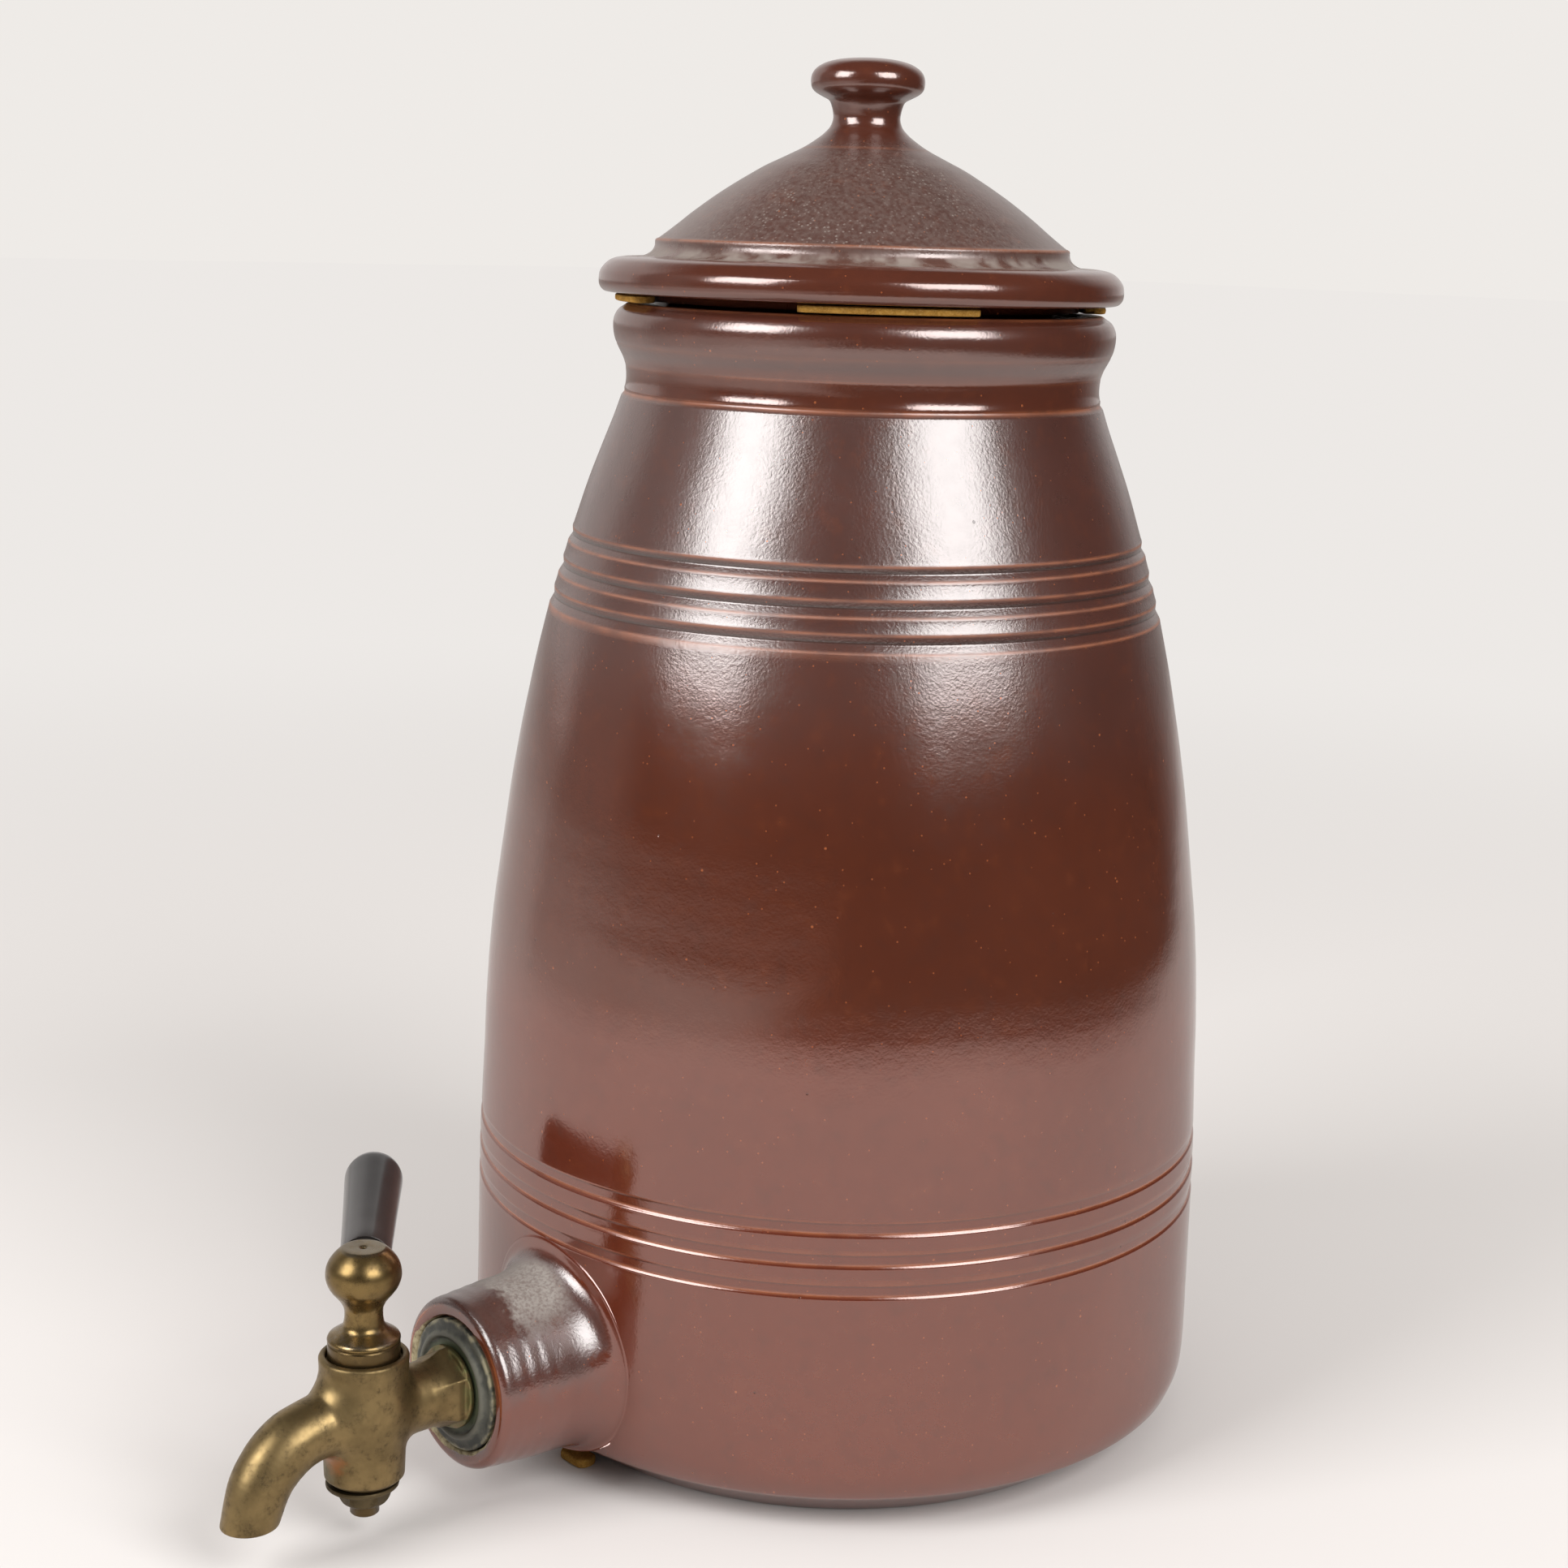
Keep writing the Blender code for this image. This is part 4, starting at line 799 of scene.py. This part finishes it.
def glaze_parts(n, shader, at, matt):
    """Salt glaze: red-brown and shiny where `matt` is 0, dark mauve-brown and satin where it is 1.

    Gives the base colour and roughness, before any dust, and joins the uneven skin to the shader.
    """
    broad = n.ramp(n.noise(at, 20.0, 3.0, 0.55), 0.32, 0.68)
    mottled = n.noise(at, 260.0, 4.0, 0.62)
    low = n.ramp(n.split(at)[2], 0.112, 0.096)
    red = n.mix(broad, (0.064, 0.0150, 0.0066), (0.078, 0.0185, 0.0082))
    lower = n.mix(broad, (0.084, 0.0155, 0.0068), (0.102, 0.0200, 0.0088))
    red = n.mix(low, red, lower)
    mauve = n.mix(broad, (0.052, 0.0155, 0.0100), (0.066, 0.0200, 0.0130))
    colour = n.mix(matt, red, mauve)
    colour = n.mix(n.ramp(mottled, 0.50, 0.74, 0.0, 0.30), colour, (0.040, 0.0120, 0.0070))
    colour = n.mix(n.ramp(mottled, 0.46, 0.28, 0.0, 0.22), colour, (0.135, 0.0360, 0.0140))
    tiny = n.use(SPECKS, At=at, Scale=470.0, Share=0.70, Size=0.095)
    large = n.use(SPECKS, At=at, Scale=200.0, Share=0.40, Size=0.062)
    speck = n.most(n.times(tiny, 0.75), n.times(large, 0.90))
    colour = n.mix(speck, colour, CLAY_ORANGE)
    pit = n.use(SPECKS, At=at, Scale=150.0, Share=0.35, Size=0.045)
    colour = n.mix(n.times(pit, 0.9), colour, PIT_COLOUR)
    uneven = n.ramp(n.noise(at, 140.0, 3.0), 0.32, 0.58, 0.45, 1.0)
    colour = n.mix(n.times(n.attribute("lip"), uneven, 0.85), colour, CLAY_ORANGE)
    rough = n.ramp(matt, 0.0, 1.0, 0.13, 0.26)
    rough = n.plus(rough, n.ramp(mottled, 0.3, 0.8, -0.010, 0.020))
    rough = n.plus(rough, n.times(n.attribute("lip"), 0.16))
    grain = n.ramp(matt, 0.0, 1.0, 1.2, 4.5)
    dimples = n.ramp(matt, 0.0, 1.0, 2.0, 3.2)
    wave = n.ramp(matt, 0.0, 1.0, 2.5, 4.0)
    height = n.use(PEEL, At=at, Grain=grain, Dimples=dimples, Wave=wave)
    height = n.math("SUBTRACT", height, n.times(pit, 4.0))
    n.join(n.bump(height, 0.00001), shader.inputs["Normal"])
    n.join(n.ramp(matt, 0.0, 1.0, 2.15, 2.10), shader.inputs["IOR"])
    n.join(n.mix(matt, (1.0, 0.77, 0.72), (1.0, 0.98, 0.97)), shader.inputs["Specular Tint"])
    return colour, rough


def jar_material():
    """The jar: shiny red-brown below, dark satin on the shoulder, painted shade as dark lines in its
    grooves.
    """
    made, shader, n = new_material("jar_glaze")
    at = n.coords()
    height = n.split(at)[2]
    wander = n.around(at, 16.0, 3.0, 0.5, 0.05)
    level = n.plus(height, wander)
    matt = n.ramp(level, 0.140, 0.190)
    band = n.times(n.ramp(height, 0.2252, 0.2266), n.ramp(height, 0.2350, 0.2322))
    rim = n.ramp(height, 0.2330, 0.2370, 0.0, 0.45)
    matt = n.times(matt, n.math("SUBTRACT", 1.0, n.most(n.times(band, 0.75), rim)))
    colour, rough = glaze_parts(n, shader, at, matt)
    # Painted shade: the dark lines in the grooves.
    colour = n.mix(n.times(n.attribute("groove"), 0.85), colour, (0.022, 0.0110, 0.0085))
    n.paint(shader, Base_Color=colour, Roughness=rough)
    return made


def boss_material():
    """The boss: dark and satin above, the dark colour painted shade, with dust by the wall, red below, a
    lime crust round its bore.
    """
    made, shader, n = new_material("boss_glaze")
    at = n.coords()
    up = n.upward()
    wander = n.around(at, 130.0, 5.0, 0.6, 0.9)
    # Painted shade: the upward-facing side is given the darker mauve colour, for the dark room that it
    # reflects.
    above = n.ramp(n.plus(up, wander), -0.05, 0.40)
    matt = n.times(above, n.ramp(n.attribute("risen"), 0.12, 0.42))
    colour, rough = glaze_parts(n, shader, at, matt)
    edge = n.around(at, 240.0, 5.0, 0.65, 0.010)
    by_wall = n.ramp(n.plus(n.split(at)[1], edge), -0.0975, -0.0945)
    by_wall = n.times(by_wall, n.ramp(n.attribute("risen"), 0.10, 0.32))
    fine = n.ramp(n.noise(at, 1500.0, 3.0, 0.6), 0.32, 0.62, 0.55, 1.0)
    top = n.ramp(n.plus(up, n.times(wander, 0.30)), 0.60, 0.92)
    dust = n.times(top, fine, n.most(by_wall, 0.10), 0.85)
    colour = n.mix(dust, colour, BOSS_DUST_COLOUR)
    edge = n.around(at, 380.0, 5.0, 0.65, 1.7)
    crust = n.ramp(n.plus(n.attribute("crust"), edge), 0.42, 0.70)
    stained = n.mix(n.ramp(n.noise(at, 520.0, 4.0, 0.6), 0.40, 0.66), CRUST_COLOUR, (0.16, 0.125, 0.068))
    colour = n.mix(n.times(crust, 0.92), colour, stained)
    n.join(colour, shader.inputs["Base Color"])
    dull = n.most(dust, crust)
    n.join(n.plus(rough, n.times(dull, 0.5)), shader.inputs["Roughness"])
    n.join(n.ramp(dull, 0.0, 0.9, 2.15, 1.35), shader.inputs["IOR"])
    return made


def lid_material():
    """The lid: satin dark brown, fine dust in dots on the dome and a grey film on the shelf."""
    made, shader, n = new_material("lid_glaze_worn")
    at = n.coords()
    height = n.split(at)[2]
    matt = n.times(n.ramp(height, 0.2545, 0.2590, 0.30, 1.0), n.ramp(height, 0.2765, 0.2830, 1.0, 0.40))
    colour, rough = glaze_parts(n, shader, at, matt)
    dots = n.use(SPECKS, At=at, Scale=1100.0, Share=0.6, Size=0.34)
    spread = n.ramp(n.noise(at, 34.0, 4.0, 0.6), 0.40, 0.66, 0.25, 0.95)
    low = n.times(n.ramp(height, 0.2810, 0.2740), n.ramp(height, 0.2560, 0.2590))
    film = n.times(n.attribute("shelf"), n.ramp(n.noise(at, 180.0, 4.0), 0.36, 0.62, 0.10, 0.70))
    haze = n.ramp(n.noise(at, 900.0, 3.0, 0.6), 0.30, 0.70, 0.06, 0.20)
    dust = n.most(n.times(n.plus(n.times(dots, spread, 0.45), haze), low), film)
    n.join(n.mix(dust, colour, DUST_COLOUR), shader.inputs["Base Color"])
    n.join(n.plus(rough, n.times(dust, 0.45)), shader.inputs["Roughness"])
    n.join(n.ramp(dust, 0.1, 0.8, 2.05, 1.35), shader.inputs["IOR"])
    return made


def brass_parts(name, tone, gloss, stain):
    """Aged brass: a brown film over warm metal, darker where it is stained."""
    made, shader, n = new_material(name)
    at = n.coords()
    broad = n.noise(at, 110.0, 4.0, 0.6)
    fine = n.noise(at, 1100.0, 3.0, 0.6)
    colour = n.mix(n.ramp(broad, 0.34, 0.66), tone, tuple(value * 0.70 for value in tone))
    dark = n.use(PATINA, At=at, Scale=320.0, Share=stain)
    colour = n.mix(dark, colour, (0.055, 0.038, 0.020))
    shader.inputs["Metallic"].default_value = 0.92
    rough = n.ramp(broad, 0.3, 0.7, gloss, gloss + 0.10)
    rough = n.plus(rough, n.times(n.math("SUBTRACT", fine, 0.5), 0.14))
    rough = n.plus(rough, n.times(dark, 0.15))
    n.join(rough, shader.inputs["Roughness"])
    height = n.plus(n.times(fine, 1.2), n.times(n.noise(at, 300.0, 2.0), 3.0))
    n.join(n.bump(height, 0.00001), shader.inputs["Normal"])
    return made, shader, n, at, colour


def near_point(n, at, place, radius):
    """A soft mask round a point given in millimetres, with an uneven edge."""
    gap = n.add("ShaderNodeVectorMath", operation="DISTANCE")
    n.join(at, gap.inputs[0])
    n.join(tuple(value * MM for value in place), gap.inputs[1])
    uneven = n.around(at, 420.0, 4.0, 0.6, radius * MM * 1.6)
    return n.ramp(n.plus(gap.outputs["Value"], uneven), radius * MM, radius * MM * 0.35)


def casting_material():
    """The tap's casting: olive brass with an orange heat stain low down and verdigris by the bung."""
    made, shader, n, at, colour = brass_parts("brass_casting", (0.245, 0.172, 0.076), 0.36, 0.75)
    colour = n.mix(n.times(near_point(n, at, (1.2, -134.6, 20.0), 4.6), 0.75), colour, (0.34, 0.135, 0.045))
    colour = n.mix(n.times(near_point(n, at, (-0.6, -134.6, 16.4), 3.2), 0.45), colour, (0.20, 0.19, 0.12))
    flange = n.ramp(n.split(at)[1], -0.1085, -0.1062)
    green = n.ramp(n.noise(at, 330.0, 4.0, 0.6), 0.40, 0.60)
    colour = n.mix(n.times(flange, green, 0.6), colour, (0.145, 0.165, 0.065))
    n.paint(shader, Base_Color=colour)
    return made


def plug_material():
    """The plug: browner brass, dusty on its collar and greyed on the ball's flat top."""
    made, shader, n, at, colour = brass_parts("brass_plug", (0.225, 0.150, 0.058), 0.23, 0.75)
    height = n.split(at)[2]
    low = n.times(n.ramp(height, 0.0490, 0.0455), n.ramp(height, 0.0425, 0.0436))
    patch = n.ramp(n.noise(at, 260.0, 4.0, 0.62), 0.36, 0.68)
    grain = n.ramp(n.noise(at, 1600.0, 2.0), 0.30, 0.62, 0.45, 1.0)
    dust = n.times(n.ramp(n.upward(), 0.15, 0.80), patch, grain, low, 0.75)
    colour = n.mix(dust, colour, (0.24, 0.205, 0.165))
    ring = n.times(n.ramp(height, 0.0432, 0.0424), 0.45)
    colour = n.mix(ring, colour, (0.045, 0.030, 0.018))
    top = n.times(n.ramp(height, 0.0616, 0.0621), n.ramp(n.noise(at, 500.0, 3.0), 0.3, 0.6, 0.3, 0.8))
    colour = n.mix(top, colour, (0.20, 0.165, 0.115))
    n.paint(shader, Base_Color=colour)
    return made


def dull_material():
    """The washer and the nut: nearly brown, dull brass."""
    made, shader, n, at, colour = brass_parts("brass_dull", (0.120, 0.090, 0.048), 0.42, 0.8)
    n.paint(shader, Base_Color=colour)
    return made


def rubber_material():
    """Old grey rubber: paler on its raised lip, a painted highlight, with a green bloom near the brass."""
    made, shader, n = new_material("old_rubber")
    at = n.coords()
    x, _, z = n.split(at)
    side = n.math("SUBTRACT", z, BOSS_HEIGHT * MM)
    away = n.math("SQRT", n.plus(n.times(x, x), n.times(side, side)))
    away = n.plus(away, n.around(at, 450.0, 3.0, 0.5, 0.0016))
    colour = n.mix(n.ramp(n.noise(at, 300.0, 4.0), 0.35, 0.7), (0.028, 0.030, 0.025), (0.075, 0.074, 0.058))
    # Painted highlight: the raised lip is made paler where light catches its edge.
    lip = n.times(n.ramp(away, 0.0098, 0.0104), n.ramp(away, 0.0118, 0.0112))
    colour = n.mix(n.times(lip, 0.6), colour, (0.135, 0.130, 0.100))
    colour = n.mix(n.ramp(away, 0.0102, 0.0090, 0.0, 0.65), colour, (0.085, 0.105, 0.050))
    worn = n.ramp(away, 0.0128, 0.0137, 0.0, 0.55)
    colour = n.mix(n.times(worn, n.ramp(n.noise(at, 360.0, 4.0), 0.4, 0.6)), colour, CRUST_COLOUR)
    skin = n.bump(n.noise(at, 1200.0, 3.0), 0.00006)
    n.paint(shader, Base_Color=colour, Roughness=0.60, Normal=skin)
    return made


def felt_material():
    """Yellow felt: matted fibres, a little uneven in tone."""
    made, shader, n = new_material("felt")
    at = n.coords()
    fibre = n.noise(at, 2300.0, 5.0, 0.75)
    colour = n.mix(n.ramp(n.noise(at, 420.0, 3.0), 0.3, 0.7), (0.50, 0.265, 0.050), (0.33, 0.165, 0.030))
    colour = n.mix(n.ramp(fibre, 0.44, 0.72, 0.0, 0.6), colour, (0.66, 0.42, 0.14))
    colour = n.mix(n.ramp(fibre, 0.46, 0.30, 0.0, 0.6), colour, (0.13, 0.065, 0.014))
    n.paint(shader, Base_Color=colour, Roughness=0.95, Specular_IOR_Level=0.15)
    n.paint(shader, Normal=n.bump(fibre, 0.00035))
    return made


def grip_material():
    """Black hard rubber with a smooth satin skin and a little dust near the brass."""
    made, shader, n = new_material("grip_black")
    at = n.coords()
    faint = n.ramp(n.noise(at, 180.0, 3.0), 0.35, 0.7)
    colour = n.mix(faint, (0.011, 0.0095, 0.0095), (0.016, 0.0140, 0.0140))
    mark = n.use(SPECKS, At=at, Scale=700.0, Share=0.25, Size=0.12)
    low = n.ramp(n.split(at)[2], 0.0665, 0.0610)
    colour = n.mix(n.most(n.times(mark, 0.4), n.times(low, 0.25)), colour, (0.10, 0.088, 0.082))
    skin = n.bump(n.noise(at, 900.0, 2.0), 0.000004)
    n.paint(shader, Base_Color=colour, Roughness=0.20, IOR=1.6, Normal=skin)
    return made


# Felt: the inner and outer radius of the pads, and the angle of each one's middle and its arc in degrees
LID_PAD_RING = (47.2, 52.4)
LID_PADS = ((53.8, 42.0), (149.3, 31.0), (233.8, 42.0), (323.8, 42.0))
FOOT_PAD_RING = (70.2, 75.2)
FOOT_PAD = (0.15, 6.3)


# The pieces, each with its material, body, slot and nodes
def dress(obj, material, body, slot, *nodes):
    """Gives a piece its material and its body and hides the nodes that it stands for. The slot is not used.
    """
    obj.data.materials.append(material)
    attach(obj, body)
    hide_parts(*nodes)
    return obj


BRASS_PLUG = plug_material()
BRASS_DULL = dull_material()
FELT = felt_material()

dress(build_jar(), jar_material(), "pot", "salt_glaze", "pot_body")
dress(build_boss(), boss_material(), "pot", "salt_glaze", "pot_body")
dress(build_lid(), lid_material(), "lid", "lid_glaze", "lid")
dress(build_casting(), casting_material(), "pot", "aged_brass", "tap_body")
dress(build_bung(), rubber_material(), "pot", "grey_rubber", "tap_bung")
dress(build_plug(), BRASS_PLUG, "key", "plug_brass", "tap_plug")
dress(build_washer(), BRASS_DULL, "key", "dull_brass", "plug_washer")
dress(build_nut(), BRASS_DULL, "key", "dull_brass", "plug_nut")
dress(build_grip(), grip_material(), "key", "black_grip", "handle_grip")
for index, place in enumerate(LID_PADS):
    node = f"lid_pad_{index + 1}"
    pad = build_felt(f"lid_felt_{index + 1}", LID_PAD_RING, place, node, LID_MIDDLE, 100 + index)
    dress(pad, FELT, "lid", "yellow_felt", node)
pad = build_felt("foot_felt", FOOT_PAD_RING, FOOT_PAD, "foot_pad", (0.0, 0.0), 120)
dress(pad, FELT, "pot", "yellow_felt", "foot_pad")
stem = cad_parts["handle_stem"]
stem.data.materials.clear()
stem.data.materials.append(BRASS_PLUG)


# Camera, floor and light
def look_matrix(heading, pitch, roll):
    """Camera turn: heading about Z, tilt from straight ahead, then roll about the line of sight."""
    turn = Matrix.Rotation(heading, 4, "Z")
    tilt = Matrix.Rotation(math.pi / 2 - pitch, 4, "X")
    return turn @ tilt @ Matrix.Rotation(roll, 4, "Z")


camera_data = bpy.data.cameras.new("camera")
camera_data.lens = CAMERA_LENS
camera_data.sensor_width = 36.0
camera_data.clip_start = 0.01
camera = bpy.data.objects.new("camera", camera_data)
camera.matrix_world = Matrix.Translation([v * MM for v in CAMERA_PLACE]) @ look_matrix(
    CAMERA_HEADING, CAMERA_PITCH, CAMERA_ROLL
)
bpy.context.scene.collection.objects.link(camera)
bpy.context.scene.camera = camera

# The table's reach in front of the jar and to its sides, in metres
TABLE_AHEAD = 0.66
TABLE_ASIDE = 0.54
# Directions seen from the jar: towards the camera, and to the camera's right
TOWARDS = np.array([math.sin(CAMERA_HEADING), -math.cos(CAMERA_HEADING)])
ACROSS = np.array([math.cos(CAMERA_HEADING), math.sin(CAMERA_HEADING)])


def along(n, x, y, way):
    """How far a point or direction goes along a level direction."""
    return n.plus(n.times(x, float(way[0])), n.times(y, float(way[1])))


def backdrop_share(n, x, y):
    """How much of the pale backdrop stands in a level direction: none in front, all of it behind."""
    turn = n.math("ARCTAN2", along(n, x, y, ACROSS), along(n, x, y, TOWARDS))
    left = n.ramp(turn, math.radians(-104), math.radians(-124), 0.0, 1.1)
    right = n.ramp(turn, math.radians(118), math.radians(162))
    grey = n.ramp(turn, math.radians(-70), math.radians(-90), 0.0, 0.30)
    return n.most(n.most(left, right), grey)


def build_floor():
    """A large plain floor. Shiny things see it end in a rounded square, as the table that it stands for."""
    size = 12000.0
    corners = np.array([(-size, -size, 0), (size, -size, 0), (size, size, 0), (-size, size, 0)], float)
    obj = mesh_object("floor", corners, np.array([[0, 1, 2, 3]]))
    made, shader, n = new_material("floor_pale")
    x, y, _ = n.split(n.coords())
    ahead = n.math("DIVIDE", n.most(along(n, x, y, TOWARDS), 0.0), TABLE_AHEAD)
    aside = n.math("DIVIDE", along(n, x, y, ACROSS), TABLE_ASIDE)
    cubes = n.plus(n.math("POWER", ahead, 3.0), n.math("POWER", n.math("ABSOLUTE", aside), 3.0))
    edge = n.math("POWER", cubes, 1 / 3)
    behind = backdrop_share(n, x, y)
    beyond = n.times(n.ramp(edge, 0.80, 1.30), n.ramp(aside, -1.05, -0.35, 0.45, 1.0))
    beyond = n.times(beyond, n.math("SUBTRACT", 1.0, behind, clamp=True))
    path = n.add("ShaderNodeLightPath")
    seen = n.times(beyond, path.outputs["Is Glossy Ray"])
    n.paint(shader, Base_Color=(0.655, 0.628, 0.612), Roughness=0.9, Specular_IOR_Level=0.2)
    dark = n.add("ShaderNodeEmission")
    n.paint(dark, Color=(0.055, 0.048, 0.046))
    haze = n.add("ShaderNodeEmission")
    n.paint(haze, Color=(0.845, 0.815, 0.79))
    away = n.math("SQRT", n.plus(n.times(x, x), n.times(y, y)))
    faded = n.times(n.ramp(away, 0.15, 1.1), path.outputs["Is Camera Ray"])
    surface = n.choose(faded, n.choose(seen, shader.outputs[0], dark.outputs[0]), haze.outputs[0])
    n.join(surface, made.node_tree.nodes["Material Output"].inputs["Surface"])
    obj.data.materials.append(made)


# Each light's name, angles in degrees aside and up, distance, width and height in metres, and watts
SOFTBOXES = (
    ("key_left", -55, 31, 1.9, 0.95, 1.10, 30.0),
    ("key_right", 41, 32, 2.0, 1.18, 1.14, 36.0),
)


def softbox(name, aside, up, distance, width, height, power):
    """A rectangular light at an angle from the camera's side of the jar, aimed at the jar."""
    side_angle, rise_angle = math.radians(aside), math.radians(up)
    way = math.cos(rise_angle) * (math.cos(side_angle) * TOWARDS + math.sin(side_angle) * ACROSS)
    middle = Vector((0.0, 0.0, 0.14))
    data = bpy.data.lights.new(name, "AREA")
    data.shape = "RECTANGLE"
    data.size = width
    data.size_y = height
    data.energy = power
    obj = bpy.data.objects.new(name, data)
    obj.location = middle + distance * Vector((way[0], way[1], math.sin(rise_angle)))
    obj.rotation_euler = (middle - obj.location).to_track_quat("-Z", "Y").to_euler()
    bpy.context.scene.collection.objects.link(obj)


def build_world():
    """Pale background for the camera. Shiny things see a dim room in front and a pale backdrop behind
    and low on the left, and soft light comes from above and from the backdrop."""
    world = bpy.data.worlds.new("studio")
    bpy.context.scene.world = world
    world.use_nodes = True
    n = Nodes(world.node_tree)
    plain = world.node_tree.nodes["Background"]
    n.paint(plain, Color=(0.86, 0.83, 0.80))
    x, y, z = n.split(n.add("ShaderNodeTexCoord").outputs["Generated"])
    white = n.times(backdrop_share(n, x, y), n.ramp(z, 0.80, 0.45))
    room = n.add("ShaderNodeBackground")
    n.join(n.mix(white, (0.045, 0.040, 0.040), (0.82, 0.79, 0.77)), room.inputs["Color"])
    fill = n.add("ShaderNodeBackground")
    lit = n.most(white, n.ramp(z, 0.10, 0.70))
    n.join(n.mix(lit, (0.10, 0.095, 0.092), (0.72, 0.70, 0.68)), fill.inputs["Color"])
    path = n.add("ShaderNodeLightPath")
    sky = n.choose(path.outputs["Is Glossy Ray"], fill.outputs[0], room.outputs[0])
    sky = n.choose(path.outputs["Is Camera Ray"], sky, plain.outputs[0])
    n.join(sky, world.node_tree.nodes["World Output"].inputs["Surface"])


build_floor()
build_world()
for light in SOFTBOXES:
    softbox(*light)
bpy.context.scene.view_settings.view_transform = "Standard"
